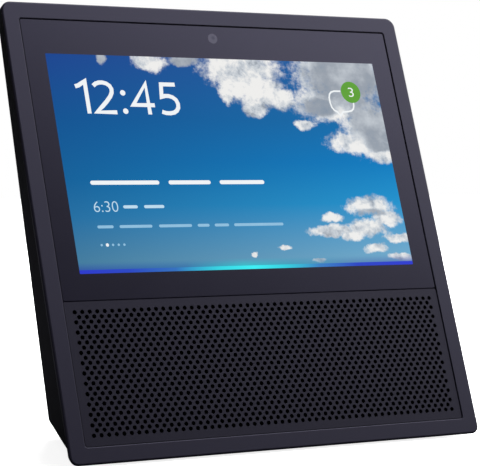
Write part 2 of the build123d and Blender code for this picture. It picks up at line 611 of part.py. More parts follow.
# ---- power board with the two sockets, low at the rear ----
half_power = POWER_BOARD_W / 2
power_board = block(-half_power, half_power, POWER_Y0, POWER_Y1, POWER_BOARD_Z, POWER_TOP)
for x, y in POWER_POSTS:
    power_board -= post(x, y, POWER_BOARD_Z - 1, POWER_TOP + 1, SCREW_R + SCREW_CLEAR)
parts["power_board"] = power_board
SOCKET_Y = REAR_Y - SOCKET_INSET
inlet_x = (INLET_X - INLET_SIZE / 2, INLET_X + INLET_SIZE / 2)
inlet = block(*inlet_x, SOCKET_Y - INLET_LENGTH, SOCKET_Y, POWER_TOP, POWER_TOP + INLET_SIZE)
bore_y = SOCKET_Y - INLET_DEPTH / 2 + 0.5
inlet -= Pos(INLET_X, bore_y, INLET_Z) * Rot(90, 0, 0) * Cylinder(INLET_R, INLET_DEPTH + 1)
pin_y0, pin_y1 = SOCKET_Y - INLET_DEPTH, SOCKET_Y - 0.6
pin = Pos(INLET_X, (pin_y0 + pin_y1) / 2, INLET_Z) * Rot(90, 0, 0) * Cylinder(PIN_R, pin_y1 - pin_y0)
pin += Pos(INLET_X, pin_y0 - 1, INLET_Z) * Rot(90, 0, 0) * Cylinder(PIN_R + 0.4, 2)
parts["power_inlet"] = inlet - pin
parts["inlet_pin"] = fillet(pin.edges().sort_by(Axis.Y)[-1], 0.4)
port_x0, port_x1 = USB_X - USB_W / 2, USB_X + USB_W / 2
port_z0, port_z1 = POWER_TOP, POWER_TOP + USB_H
port = block(port_x0, port_x1, SOCKET_Y - USB_LENGTH, SOCKET_Y, port_z0, port_z1)
port -= block(
    port_x0 + USB_T, port_x1 - USB_T,
    SOCKET_Y - USB_LENGTH + 1, REAR_Y,
    port_z0 + USB_T, port_z1 - USB_T,
)
tongue_z = (port_z0 + port_z1) / 2
tongue_y0, tongue_y1 = SOCKET_Y - USB_LENGTH + 0.8, SOCKET_Y - 0.8
port += block(USB_X - 2, USB_X + 2, tongue_y0, tongue_y1, tongue_z - 0.3, tongue_z + 0.3)
parts["service_port"] = port

screws = [face_screw(x, s, BOARD_BACK, BOARD_T + BOARD_GRIP, True) for x, s in BOARD_POSTS]
screws += [Pos(x, y, TOP_BOARD_LOW) * Rot(180, 0, 0) * screw(TOP_BOARD_T + BOARD_GRIP) for x, y in TOP_POSTS]
screws += [Pos(x, y, POWER_TOP) * screw(BOARD_T + BOARD_GRIP) for x, y in POWER_POSTS]
parts["board_screws"] = screws


# ---- speaker box and baffle ----
BOX_TOP = BAR_S - POST_R - 1.2
BOX_LOW = slope_at(BASE_LIFT + WALL + 1, BAFFLE_W + BAFFLE_T) + 0.4


def in_case(shape, inset):
    """The part of a shape in face coordinates that lies inside the case, inset all round."""
    return wedge(inset, 0) & (FACE * shape)


BOX_INSET = WALL + 0.8
BAFFLE_BACK = BAFFLE_W + BAFFLE_T
baffle = slab(-BAFFLE_HALF, BAFFLE_HALF, BOX_LOW, BOX_TOP, BAFFLE_W, BAFFLE_BACK)
for x in DRIVERS.values():
    baffle -= disc(x, SPEAKER_RISE, BAFFLE_W - 1, BAFFLE_BACK + 1, BASKET_R + 0.2)
    for dx, ds in EARS:
        baffle -= disc(x + dx, SPEAKER_RISE + ds, BAFFLE_W - 1, BAFFLE_BACK + 1, SCREW_R + SCREW_FIT)
parts["speaker_baffle"] = FACE * baffle
seal = slab(-BAFFLE_HALF, BAFFLE_HALF, BOX_LOW, BOX_TOP, CHASSIS_BACK, BAFFLE_W)
seal -= slab(-OPENING_X, OPENING_X, OPENING_LOW, OPENING_HIGH, CHASSIS_BACK - 1, BAFFLE_W + 1)
parts["baffle_seal"] = FACE * seal


def speaker_lead(x, grow=0.0):
    """A pair of wires in one sleeve, from the basket's tag up to the main board."""
    r = 0.6 + grow
    return slab(x - r, x + r, SPEAKER_RISE + 17.9, BOARD_S0 + SOCKET_S, LEAD_W - r, LEAD_W + r)


box_x = BAFFLE_HALF - BOX_WALL
outer = slab(-BAFFLE_HALF, BAFFLE_HALF, BOX_LOW, BOX_TOP, BAFFLE_BACK, BOX_BACK)
inner = slab(-box_x, box_x, BOX_LOW + BOX_WALL, BOX_TOP - BOX_WALL, 0, BOX_BACK - BOX_WALL)
speaker_box = in_case(outer, BOX_INSET) - in_case(inner, BOX_INSET + BOX_WALL)
for x in DRIVERS.values():
    speaker_box -= FACE * speaker_lead(x, 0.05)
parts["speaker_box"] = speaker_box


# ---- drivers: basket, magnet system and the moving cone ----
def basket(x):
    """A flange with two flats, and a sloping wall with six windows and a floor."""
    s = SPEAKER_RISE
    flange = disc(x, s, FLANGE_W, BAFFLE_W, DRIVER_R, MOUTH_R)
    flange &= slab(x - DRIVER_R, x + DRIVER_R, s - DRIVER_FLAT, s + DRIVER_FLAT, FLANGE_W - 1, BAFFLE_W + 1)
    for dx, ds in EARS:
        flange -= disc(x + dx, s + ds, FLANGE_W - 1, BAFFLE_W + 1, SCREW_R + SCREW_CLEAR)
    profile = [
        (MOUTH_R, BAFFLE_W - 1),
        (BASKET_R - 0.2, BAFFLE_W - 1),
        (BASKET_R - 4.2, SHOULDER_W + 1),
        (SPIDER_R + 1.6, BASKET_BACK),
        (FLOOR_R, BASKET_BACK),
        (FLOOR_R, BASKET_BACK - SHEET_T),
        (SPIDER_R, BASKET_BACK - SHEET_T),
        (SPIDER_R, SHOULDER_W + SHEET_T),
        (SPIDER_R + 1.8, SHOULDER_W),
    ]
    body = spun(profile, x, s)
    for turn in range(0, 360, 60):
        window = Rot(0, 0, turn) * Pos(BASKET_R - 3, 0, 0) * Box(9, 9, 6)
        body -= Pos(x, s, -(BAFFLE_W + 5.5)) * window
    return FACE * (flange + body)


def surround(x):
    """A half roll between the cone's edge and the basket."""
    middle, roll_r = (ROLL_R + CONE_R) / 2, (ROLL_R - CONE_R) / 2
    roll = Pos(middle, -FLANGE_W) * (Circle(roll_r) - Circle(roll_r - SKIN_T))
    profile = roll & Pos(middle, -FLANGE_W + 5) * Rectangle(20, 10)
    profile += Pos(ROLL_R + 0.6, -FLANGE_W + SKIN_T / 2) * Rectangle(1.6, SKIN_T)
    profile += Pos(CONE_R - 0.3, -FLANGE_W + SKIN_T / 2) * Rectangle(1.0, SKIN_T)
    return FACE * (Pos(x, SPEAKER_RISE, 0) * revolve(Plane.XZ * profile, Axis.Z))


COIL_W = BAFFLE_W + COIL_DROP
coil_out = COIL_R + COIL_T
gap_r = coil_out + GAP
cone_profile = [
    (coil_out, COIL_W + 0.6),
    (coil_out, COIL_W),
    (CONE_R - 0.9, FLANGE_W),
    (CONE_R + 0.1, FLANGE_W),
    (CONE_R + 0.1, FLANGE_W + 0.5),
    (CONE_R - 0.5, FLANGE_W + 0.5),
]
cap_edge = (CAP_R**2 - CAP_CUT**2) ** 0.5
cone_slope = COIL_DROP + FLANGE_T
cap_w = COIL_W - (cap_edge - coil_out) * cone_slope / (CONE_R - 0.9 - coil_out)
dome = Sphere(CAP_R) & Pos(0, 0, CAP_R) * Box(4 * CAP_R, 4 * CAP_R, 2 * (CAP_R - CAP_CUT))
dome -= Sphere(CAP_R - SKIN_T)
magnets, top_plates, yokes = [], [], []
for name, x in DRIVERS.items():
    s = SPEAKER_RISE
    parts[name + "_basket"] = basket(x)
    top_plates.append(FACE * disc(x, s, BASKET_BACK, BASKET_BACK + PLATE_T, MAGNET_R, gap_r))
    magnets.append(FACE * disc(x, s, BASKET_BACK + PLATE_T, YOKE_W, MAGNET_R, gap_r + 1.5))
    yoke = disc(x, s, YOKE_W, YOKE_W + PLATE_T, MAGNET_R)
    yoke += disc(x, s, BASKET_BACK, YOKE_W + 0.5, COIL_R - GAP)
    yokes.append(FACE * yoke)
    coil_back = BASKET_BACK + PLATE_T + 1.5
    parts[name + "_voice_coil"] = FACE * disc(x, s, COIL_W, coil_back, coil_out, COIL_R)
    parts[name + "_cone"] = FACE * spun(cone_profile, x, s)
    parts[name + "_dust_cap"] = FACE * (Pos(x, s, -cap_w - CAP_CUT + 0.1) * dome)
    spider_w = SHOULDER_W + SHEET_T
    parts[name + "_spider"] = FACE * disc(x, s, spider_w, spider_w + SKIN_T, SPIDER_R, coil_out)
    parts[name + "_surround"] = surround(x)
parts["driver_top_plates"] = top_plates
parts["driver_magnets"] = magnets
parts["driver_yokes"] = yokes
ears = [(x + dx, SPEAKER_RISE + ds) for x in DRIVERS.values() for dx, ds in EARS]
grip = FLANGE_T + BAFFLE_T - 0.3
parts["driver_screws"] = [face_screw(x, s, FLANGE_W, grip, False) for x, s in ears]


# ---- flat cables: a strip of even thickness, bent along a path in (y, z) ----
def ribbon(points, x0, x1, thick=0.3):
    strip = trace(Polyline(*points), thick)
    return extrude(Plane.YZ.offset(x0) * strip, x1 - x0)


socket_w = BOARD_BACK + SOCKET_T / 2
socket_end = place(BOARD_S0 + SOCKET_S - 0.1, socket_w)
display_path = [place(CABLE_S, LCD_BACK + TRAY_WALL + 0.16), place(CABLE_S, socket_w), socket_end]
top_path = [(KEY_Y - 3, TOP_BOARD_LOW), (KEY_Y - 3, TOP_BOARD_LOW - 8), place(BOARD_S1 - 1.9, BOARD_BACK + 1)]
supply_path = [(SUPPLY_Y, POWER_TOP + SOCKET_T), (SUPPLY_Y, POWER_TOP + 45), socket_end]
cables = [ribbon(display_path, *CABLE_X), ribbon(top_path, -6, 6), ribbon(supply_path, *SUPPLY_X)]
parts["flat_cables"] = cables
parts["speaker_leads"] = [FACE * speaker_lead(x) for x in DRIVERS.values()]

# ---- write one file per node ----
os.makedirs("parts", exist_ok=True)
for name, shape in parts.items():
    pieces = shape if isinstance(shape, list) else [shape]
    solids = [solid for piece in pieces for solid in piece.solids()]
    export_step(solids[0] if len(solids) == 1 else Compound(solids), f"parts/{name}.step")
print(len(parts), "nodes")
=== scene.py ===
import math

import bmesh
import bpy
from mathutils import Matrix, Vector
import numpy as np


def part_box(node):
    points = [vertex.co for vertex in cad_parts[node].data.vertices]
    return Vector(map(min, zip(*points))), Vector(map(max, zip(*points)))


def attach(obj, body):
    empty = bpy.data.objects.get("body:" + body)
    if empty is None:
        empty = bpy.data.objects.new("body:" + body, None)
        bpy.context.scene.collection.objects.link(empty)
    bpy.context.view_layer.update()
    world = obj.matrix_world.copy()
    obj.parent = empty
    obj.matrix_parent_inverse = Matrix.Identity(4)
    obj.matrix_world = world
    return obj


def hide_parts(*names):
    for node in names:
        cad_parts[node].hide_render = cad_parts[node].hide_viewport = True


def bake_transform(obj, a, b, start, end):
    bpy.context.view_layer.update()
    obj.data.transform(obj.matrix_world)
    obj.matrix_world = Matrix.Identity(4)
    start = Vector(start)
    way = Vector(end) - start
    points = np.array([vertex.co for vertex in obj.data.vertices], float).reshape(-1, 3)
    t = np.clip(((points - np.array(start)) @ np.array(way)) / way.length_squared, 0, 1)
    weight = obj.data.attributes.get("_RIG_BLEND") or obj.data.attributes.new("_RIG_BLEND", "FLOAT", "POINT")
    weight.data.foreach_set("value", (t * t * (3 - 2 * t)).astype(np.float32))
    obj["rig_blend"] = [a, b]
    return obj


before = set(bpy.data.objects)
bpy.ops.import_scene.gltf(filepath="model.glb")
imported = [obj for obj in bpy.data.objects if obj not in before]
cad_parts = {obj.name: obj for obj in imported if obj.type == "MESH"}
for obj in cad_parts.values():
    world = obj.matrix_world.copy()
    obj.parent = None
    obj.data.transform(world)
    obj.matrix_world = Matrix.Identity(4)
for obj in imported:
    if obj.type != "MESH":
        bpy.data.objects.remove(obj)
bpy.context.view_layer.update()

# The looks of a free-standing smart display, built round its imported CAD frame.
# Lengths are in millimetres until a mesh is put in its place, where they become metres.
MM = 0.001

# ---- the leaning face ----
LEAN = math.radians(20.0)  # the face leans back from upright
GLASS_T = 1.2
GRILLE_T = 1.2
PANEL_CORNER = 0.8
SEAM = 0.35  # gap round the glass and the grille

# ---- the picture behind the glass, from the glass's lower edge ----
PICTURE_W = 155.1
PICTURE_H = 91.2
PICTURE_RISE = 10.65
FILM = 0.012  # each printed or lit layer is this thick

# ---- grille ----
HOLE_R = 0.8
HOLE_RIM = 0.1  # broken edge round each hole
HOLE_PITCH = 3.163
ROW_PITCH = 2.0
LONG_ROWS = 13
LONG_COUNT = 53
HOLE_SIDES = 14

# ---- speaker suspension: radii from the driver's axis ----
LIP_OUT = 21.2  # outer edge of the surround's lip
LIP_IN = 15.8
ROLL_MIDDLE = 18.2
ROLL_R = 1.6
ROLL_T = 0.4
ROLL_STEPS = 12
SPIDER_IN = 6.5
SPIDER_OUT = 13.2
SPIDER_T = 0.3
SPIDER_WAVES = 4
SPIDER_STEPS = 48
WAVE_H = 0.42

# ---- marks on the keys, which fill shallow cuts ----
CUT_T = 0.15
MARK_LOW = 0.04 - CUT_T
MARK_HIGH = -0.02
MARK_HALF = 1.69
MARK_PEN = 0.19  # half the width of a line

# ---- seal in the seams ----
SEAL_TOP = -0.25  # below the panel's front
SEAL_LOW = -0.9
SEAL_PLAY = 0.03


def mm_box(node):
    """Lowest and highest corner of a CAD node, in millimetres."""
    low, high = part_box(node)
    return low / MM, high / MM


def front_edge(node, thick):
    """(y, z) of a leaning sheet's lower front edge, and its length up the slope."""
    low, high = mm_box(node)
    foot_z = low.z + thick * math.sin(LEAN)
    return low.y, foot_z, (high.z - foot_z) / math.cos(LEAN)


GLASS_Y, GLASS_Z, GLASS_H = front_edge("cover_glass", GLASS_T)
GRILLE_Y, GRILLE_Z, GRILLE_H = front_edge("speaker_grille", GRILLE_T)
GLASS_W = 2 * mm_box("cover_glass")[1].x
GRILLE_W = 2 * mm_box("speaker_grille")[1].x
TILT = Matrix.Rotation(math.pi / 2 - LEAN, 4, "X")
UPRIGHT = TILT.inverted()


def face_place(y, z):
    """Turns (across, up the slope, out of the face) in mm, from a point on the face, into the row frame."""
    return Matrix.Translation((0, y * MM, z * MM)) @ TILT @ Matrix.Scale(MM, 4)


ON_GLASS = face_place(GLASS_Y, GLASS_Z)
ON_GRILLE = face_place(GRILLE_Y, GRILLE_Z)


# ---- colours, written as the eye's 0 to 255 and turned into light ----
def light(red, green, blue):
    parts = []
    for value in (red, green, blue):
        share = value / 255
        parts.append(share / 12.92 if share <= 0.04045 else ((share + 0.055) / 1.055) ** 2.4)
    return (*parts, 1.0)


# ---- node helpers ----
def put(tree, kind, values=None, **settings):
    """A node with its settings, and its inputs set to values or joined to other nodes' outputs."""
    made = tree.nodes.new(kind)
    for key, value in settings.items():
        setattr(made, key, value)
    for key, value in (values or {}).items():
        socket = made.inputs[key]
        if isinstance(value, bpy.types.NodeSocket):
            tree.links.new(value, socket)
        else:
            socket.default_value = value
    return made


def result(tree, kind, values, **settings):
    """The first output of a new node."""
    return put(tree, kind, values, **settings).outputs[0]


def maths(tree, operation, a, b=0.0, c=0.0, clamp=False):
    return result(tree, "ShaderNodeMath", {0: a, 1: b, 2: c}, operation=operation, use_clamp=clamp)


def plus(tree, a, b):
    return maths(tree, "ADD", a, b)


def minus(tree, a, b):
    return maths(tree, "SUBTRACT", a, b)


def times(tree, a, b, clamp=False):
    return maths(tree, "MULTIPLY", a, b, clamp=clamp)


def swing(tree, value, amount, middle, clamp=False):
    """A value from 0 to 1 turned into a swing of an amount about a middle."""
    return maths(tree, "MULTIPLY_ADD", minus(tree, value, 0.5), amount, middle, clamp)


def vector_maths(tree, operation, a, b=(0, 0, 0), c=(0, 0, 0)):
    made = put(tree, "ShaderNodeVectorMath", {0: a, 1: b, 2: c}, operation=operation)
    return made.outputs["Value" if operation in ("DOT_PRODUCT", "LENGTH") else "Vector"]


def ramp_between(tree, value, low, high):
    """0 below low, 1 above high, with a soft start and end."""
    values = {"Value": value, "From Min": low, "From Max": high}
    return result(tree, "ShaderNodeMapRange", values, interpolation_type="SMOOTHSTEP")


def mix_colour(tree, share, a, b, blend="MIX"):
    values = {0: share, 6: a, 7: b}
    return put(tree, "ShaderNodeMix", values, data_type="RGBA", blend_type=blend).outputs[2]


def colour_ramp(tree, value, stops):
    made = put(tree, "ShaderNodeValToRGB", {"Fac": value})
    bar = made.color_ramp
    while len(bar.elements) < len(stops):
        bar.elements.new(0.5)
    for element, (place, colour) in zip(bar.elements, stops):
        element.position = place
        element.color = colour
    return made.outputs[0]


def noise(tree, point, scale, detail, rough, stretch=None, output=0):
    if stretch:
        point = result(tree, "ShaderNodeMapping", {"Vector": point, "Scale": stretch})
    values = {"Vector": point, "Scale": scale, "Detail": detail, "Roughness": rough}
    return put(tree, "ShaderNodeTexNoise", values).outputs[output]


SOCKETS = {"value": "NodeSocketFloat", "colour": "NodeSocketColor", "vector": "NodeSocketVector"}


def shader_group(name, inputs, outputs):
    """An empty shader node group from its inputs' defaults and its outputs' kinds."""
    group = bpy.data.node_groups.new(name, "ShaderNodeTree")
    for label, default in inputs.items():
        kind = "value" if isinstance(default, float) else "vector" if len(default) == 3 else "colour"
        socket = group.interface.new_socket(label, in_out="INPUT", socket_type=SOCKETS[kind])
        socket.default_value = default
    for label, kind in outputs.items():
        group.interface.new_socket(label, in_out="OUTPUT", socket_type=SOCKETS[kind])
    return group, group.nodes.new("NodeGroupInput").outputs, group.nodes.new("NodeGroupOutput").inputs


def use_group(tree, group, values):
    return put(tree, "ShaderNodeGroup", values, node_tree=group).outputs


def bumped(tree, height, depth):
    """A normal pushed in and out by the height. Depth in metres."""
    return result(tree, "ShaderNodeBump", {"Strength": 1.0, "Distance": depth, "Height": height})


def give_out(group, out, colour, rough, height, depth):
    """Joins a surface's colour, roughness and bumped normal to its group's outputs."""
    for label, source in zip(SURFACE, (colour, rough, bumped(group, height, depth))):
        group.links.new(source, out[label])
    return group


# ---- shared surface effects ----
BLACK = (0.0, 0.0, 0.0, 1.0)
POINT = (0, 0, 0)
SURFACE = {"Colour": "colour", "Roughness": "value", "Normal": "vector"}


def make_moulded():
    """Fine spark-eroded grain of a moulded part, with slow changes of shade and gloss."""
    inputs = {
        "Point": POINT,
        "Colour": BLACK,
        "Mottle": 0.1,
        "Grain": 0.3,
        "Depth": 0.01,
        "Roughness": 0.4,
        "Spread": 0.05,
    }
    group, given, out = shader_group("moulded grain", inputs, SURFACE)
    slow = noise(group, given["Point"], 0.035, 4.0, 0.6)
    drift = swing(group, slow, given["Mottle"], 0.5)
    dark = mix_colour(group, 1.0, given["Colour"], (0.6, 0.6, 0.6, 1), "MULTIPLY")
    pale = mix_colour(group, 1.0, given["Colour"], (1.4, 1.4, 1.4, 1), "MULTIPLY")
    fine_scale = maths(group, "DIVIDE", 1.0, given["Grain"])
    fine = noise(group, given["Point"], fine_scale, 2.0, 0.6)
    speck = swing(group, fine, 0.5, drift)
    colour = mix_colour(group, speck, dark, pale)
    rough = swing(group, fine, given["Spread"], given["Roughness"])
    return give_out(group, out, colour, rough, fine, times(group, given["Depth"], MM))


def make_soft_edge():
    """Rounds the shading of sharp corners by a small radius."""
    inputs = {"Normal": POINT, "Radius": 0.2}
    group, given, out = shader_group("softened edge", inputs, {"Normal": "vector"})
    radius = times(group, given["Radius"], MM)
    soft = put(group, "ShaderNodeBevel", {"Radius": radius, "Normal": given["Normal"]}, samples=6)
    group.links.new(soft.outputs[0], out["Normal"])
    return group


def make_brushed():
    """Fine lines drawn along x on sheet metal, with slow staining."""
    inputs = {
        "Point": POINT,
        "Colour": BLACK,
        "Line": 0.12,
        "Depth": 0.004,
        "Roughness": 0.35,
        "Stain": 0.15,
    }
    group, given, out = shader_group("drawn lines", inputs, SURFACE)
    scale = maths(group, "DIVIDE", 1.0, given["Line"])
    lines = noise(group, given["Point"], scale, 2.0, 0.5, (0.02, 1.0, 1.0))
    cloudy = noise(group, given["Point"], 0.12, 4.0, 0.6)
    stain = times(group, cloudy, given["Stain"])
    darker = mix_colour(group, 1.0, given["Colour"], (0.45, 0.45, 0.48, 1), "MULTIPLY")
    colour = mix_colour(group, stain, given["Colour"], darker)
    shift = swing(group, lines, 0.25, given["Roughness"])
    rough = plus(group, shift, times(group, stain, 0.5))
    return give_out(group, out, colour, rough, lines, times(group, given["Depth"], MM))


def make_weave():
    """Threads that cross over and under, as on speaker cloth, with painted shade in the gaps between them."""
    inputs = {
        "Point": POINT,
        "Colour": BLACK,
        "Pitch": 0.5,
        "Depth": 0.08,
        "Roughness": 0.85,
    }
    group, given, out = shader_group("woven threads", inputs, SURFACE)
    parted = put(group, "ShaderNodeSeparateXYZ", {"Vector": given["Point"]}).outputs
    turn = maths(group, "DIVIDE", math.pi, given["Pitch"])
    across = maths(group, "SINE", times(group, parted["X"], turn))
    along = maths(group, "SINE", times(group, parted["Y"], turn))
    over = maths(group, "GREATER_THAN", times(group, across, along), 0.0)
    warp = times(group, maths(group, "ABSOLUTE", across), over)
    weft = times(group, maths(group, "ABSOLUTE", along), minus(group, 1.0, over))
    height = maths(group, "MAXIMUM", warp, weft)
    fuzz = noise(group, given["Point"], 6.0, 2.0, 0.6)
    # painted shade: the colour darkens where the threads sink, in the gaps between them
    shade = times(group, height, maths(group, "MULTIPLY_ADD", fuzz, 0.5, 0.75), clamp=True)
    dark = mix_colour(group, 1.0, given["Colour"], (0.25, 0.25, 0.25, 1), "MULTIPLY")
    colour = mix_colour(group, shade, dark, given["Colour"])
    rough = maths(group, "MULTIPLY_ADD", fuzz, 0.1, given["Roughness"])
    return give_out(group, out, colour, rough, height, times(group, given["Depth"], MM))


def make_board_print():
    """Copper tracks under green lacquer: patches of lines that run across or along, with pads."""
    inputs = {
        "Point": POINT,
        "Lacquer": light(18, 62, 40),
        "Track": light(40, 104, 66),
    }
    group, given, out = shader_group("board print", inputs, SURFACE)
    values = {"Vector": given["Point"], "Scale": 0.14}
    patches = put(group, "ShaderNodeTexVoronoi", values, distance="CHEBYCHEV")
    parted = put(group, "ShaderNodeSeparateXYZ", {"Vector": given["Point"]}).outputs
    hue = put(group, "ShaderNodeSeparateColor", {"Color": patches.outputs["Color"]}).outputs
    slope = plus(group, parted["Y"], parted["Z"])
    across = maths(group, "SINE", times(group, parted["X"], 9.0))
    along = maths(group, "SINE", times(group, slope, 9.0))
    which = maths(group, "GREATER_THAN", hue[0], 0.5)
    lines = result(group, "ShaderNodeMix", {0: which, 2: across, 3: along})
    track = ramp_between(group, lines, 0.35, 0.55)
    track = times(group, track, maths(group, "GREATER_THAN", hue[1], 0.3))
    pad = ramp_between(group, patches.outputs["Distance"], 0.16, 0.12)
    ground = mix_colour(group, track, given["Lacquer"], given["Track"])
    colour = mix_colour(group, pad, ground, light(206, 178, 108))
    rough = maths(group, "MULTIPLY_ADD", pad, -0.15, 0.42)
    return give_out(group, out, colour, rough, plus(group, track, pad), 0.04 * MM)


MOULDED = make_moulded()
SOFT_EDGE = make_soft_edge()
BRUSHED = make_brushed()
WEAVE = make_weave()
BOARD_PRINT = make_board_print()


# ---- finishes ----
def new_finish(name):
    """A material with its Principled shader, and a point in millimetres on the piece."""
    made = bpy.data.materials.new(name)
    made.use_nodes = True
    tree = made.node_tree
    shader = tree.nodes["Principled BSDF"]
    where = put(tree, "ShaderNodeTexCoord").outputs["Object"]
    point = result(tree, "ShaderNodeMapping", {"Vector": where, "Scale": (1 / MM,) * 3})
    return made, tree, shader, point


def face_point(tree, point, y, z):
    """The point in millimetres as (across, up the slope, out), from (y, z) on the face."""
    turn = UPRIGHT.to_3x3()
    shift = -(turn @ Vector((0, y, z)))
    values = {"Vector": point, "Rotation": (LEAN - math.pi / 2, 0, 0), "Location": shift}
    return result(tree, "ShaderNodeMapping", values)


def plug(shader, home, source):
    shader.id_data.links.new(source, shader.inputs[home])


def plug_in(shader, outputs):
    """Joins a surface group's outputs to the shader."""
    for label, home in zip(SURFACE, ("Base Color", "Roughness", "Normal")):
        plug(shader, home, outputs[label])


def settle(shader, **constants):
    """Sets the shader's own sockets."""
    for key, value in constants.items():
        shader.inputs[key.replace("_", " ")].default_value = value


def moulded(name, colour, rough, grain, depth, mottle, spread, edge=0.0, **constants):
    made, tree, shader, point = new_finish(name)
    values = {"Point": point, "Colour": colour, "Mottle": mottle, "Grain": grain, "Depth": depth}
    outputs = use_group(tree, MOULDED, {**values, "Roughness": rough, "Spread": spread})
    plug_in(shader, outputs)
    if edge:
        softened = use_group(tree, SOFT_EDGE, {"Normal": outputs["Normal"], "Radius": edge})
        plug(shader, "Normal", softened["Normal"])
    settle(shader, **constants)
    return made


def metal(name, colour, rough, line, depth, stain, **constants):
    made, tree, shader, point = new_finish(name)
    values = {"Point": point, "Colour": colour, "Line": line, "Depth": depth}
    plug_in(shader, use_group(tree, BRUSHED, {**values, "Roughness": rough, "Stain": stain}))
    settle(shader, Metallic=1.0, **constants)
    return made


def woven(name, colour, pitch, depth, **constants):
    made, tree, shader, point = new_finish(name)
    point = face_point(tree, point, GLASS_Y, GLASS_Z)
    outputs = use_group(tree, WEAVE, {"Point": point, "Colour": colour, "Pitch": pitch, "Depth": depth})
    plug_in(shader, outputs)
    settle(shader, **constants)
    return made


def fibrous(name, colour, scale, depth, rough=0.9, **constants):
    """Pressed fibres or foam cells: a cellular surface with deep shade between."""
    made, tree, shader, point = new_finish(name)
    cells = put(tree, "ShaderNodeTexVoronoi", {"Vector": point, "Scale": scale}, feature="SMOOTH_F1")
    strands = noise(tree, point, scale * 0.6, 5.0, 0.7, (0.4, 1.6, 1.0))
    height = plus(tree, cells.outputs["Distance"], strands)
    dark = tuple(0.45 * c for c in colour[:3]) + (1.0,)
    shade = ramp_between(tree, height, 0.5, 1.15)
    plug(shader, "Base Color", mix_colour(tree, shade, dark, colour))
    plug(shader, "Roughness", maths(tree, "MULTIPLY_ADD", shade, 0.08, rough - 0.04))
    plug(shader, "Normal", bumped(tree, height, depth * MM))
    settle(shader, **constants)
    return made


def circuit_board(name):
    made, tree, shader, point = new_finish(name)
    plug_in(shader, use_group(tree, BOARD_PRINT, {"Point": point}))
    return made


# ---- the glass: dark print behind a glossy sheet, with the camera's clear spot ----
CHARCOAL_TINT = (0.70, 0.67, 1.0, 1.0)  # faint violet in the frame's and the glass's shine
CAMERA_RISE = GLASS_H - 5.4
CAMERA_SPOT = 2.2
PUPIL_SPOT = 0.75
PUPIL_AT = (0.35, CAMERA_RISE + 0.3)
SENSOR_X = 14.5
SENSOR_SPOT = 0.9


def spot(tree, point, x, up, radius, soft):
    """1 inside a round spot on the glass, 0 outside."""
    away = vector_maths(tree, "SUBTRACT", point, (x, up, 0.0))
    flat = vector_maths(tree, "MULTIPLY", away, (1, 1, 0))
    return ramp_between(tree, vector_maths(tree, "LENGTH", flat), radius + soft, radius - soft)


def glass_finish(name):
    made, tree, shader, point = new_finish(name)
    flat = face_point(tree, point, GLASS_Y, GLASS_Z)
    cloudy = noise(tree, flat, 0.03, 3.0, 0.5)
    ink = mix_colour(tree, cloudy, light(10, 9, 19), light(13, 12, 23))
    clear = spot(tree, flat, 0.0, CAMERA_RISE, CAMERA_SPOT, 0.3)
    ring = mix_colour(tree, clear, ink, light(78, 77, 86))
    pupil = spot(tree, flat, *PUPIL_AT, PUPIL_SPOT, 0.6)
    lens = mix_colour(tree, pupil, ring, light(52, 52, 64))
    sensor = spot(tree, flat, SENSOR_X, CAMERA_RISE, SENSOR_SPOT, 0.2)
    plug(shader, "Base Color", mix_colour(tree, sensor, lens, light(15, 15, 22)))
    smears = noise(tree, flat, 0.06, 5.0, 0.65)
    plug(shader, "Roughness", maths(tree, "MULTIPLY_ADD", smears, 0.06, 0.13))
    facing = put(tree, "ShaderNodeNewGeometry").outputs["Normal"]
    softened = use_group(tree, SOFT_EDGE, {"Normal": facing, "Radius": 0.35})
    plug(shader, "Normal", softened["Normal"])
    settle(shader, Specular_Tint=CHARCOAL_TINT, Specular_IOR_Level=0.5)
    return made


# ---- the picture: a summer sky. Places are (across, down) in mm from the picture's upper left corner ----
SKY_LEFT = [
    (0.0, (24, 68, 143)), (0.3, (12, 83, 146)), (0.58, (16, 97, 154)), (0.75, (36, 111, 162)),
    (0.95, (68, 124, 158)),
]
SKY_RIGHT = [
    (0.0, (26, 96, 160)), (0.3, (12, 108, 170)), (0.5, (0, 122, 190)), (0.7, (30, 146, 204)),
    (0.95, (112, 170, 204)),
]
CLOUD_TONES = [
    (0.0, (128, 143, 160)), (0.3, (156, 163, 172)), (0.62, (200, 206, 212)), (1.0, (242, 241, 238)),
]
LOW_EDGE_TONES = [
    (0.0, (50, 82, 165)), (0.3, (48, 110, 168)), (0.47, (46, 196, 206)), (0.62, (58, 158, 186)),
    (0.8, (86, 132, 178)), (1.0, (90, 112, 180)),
]
BAR_TONES = [
    (0.0, (46, 58, 205)), (0.14, (44, 72, 196)), (0.27, (52, 112, 190)), (0.4, (54, 215, 228)),
    (0.5, (62, 240, 246)), (0.6, (52, 205, 222)), (0.7, (60, 128, 198)), (0.82, (46, 70, 196)),
    (1.0, (48, 60, 208)),
]
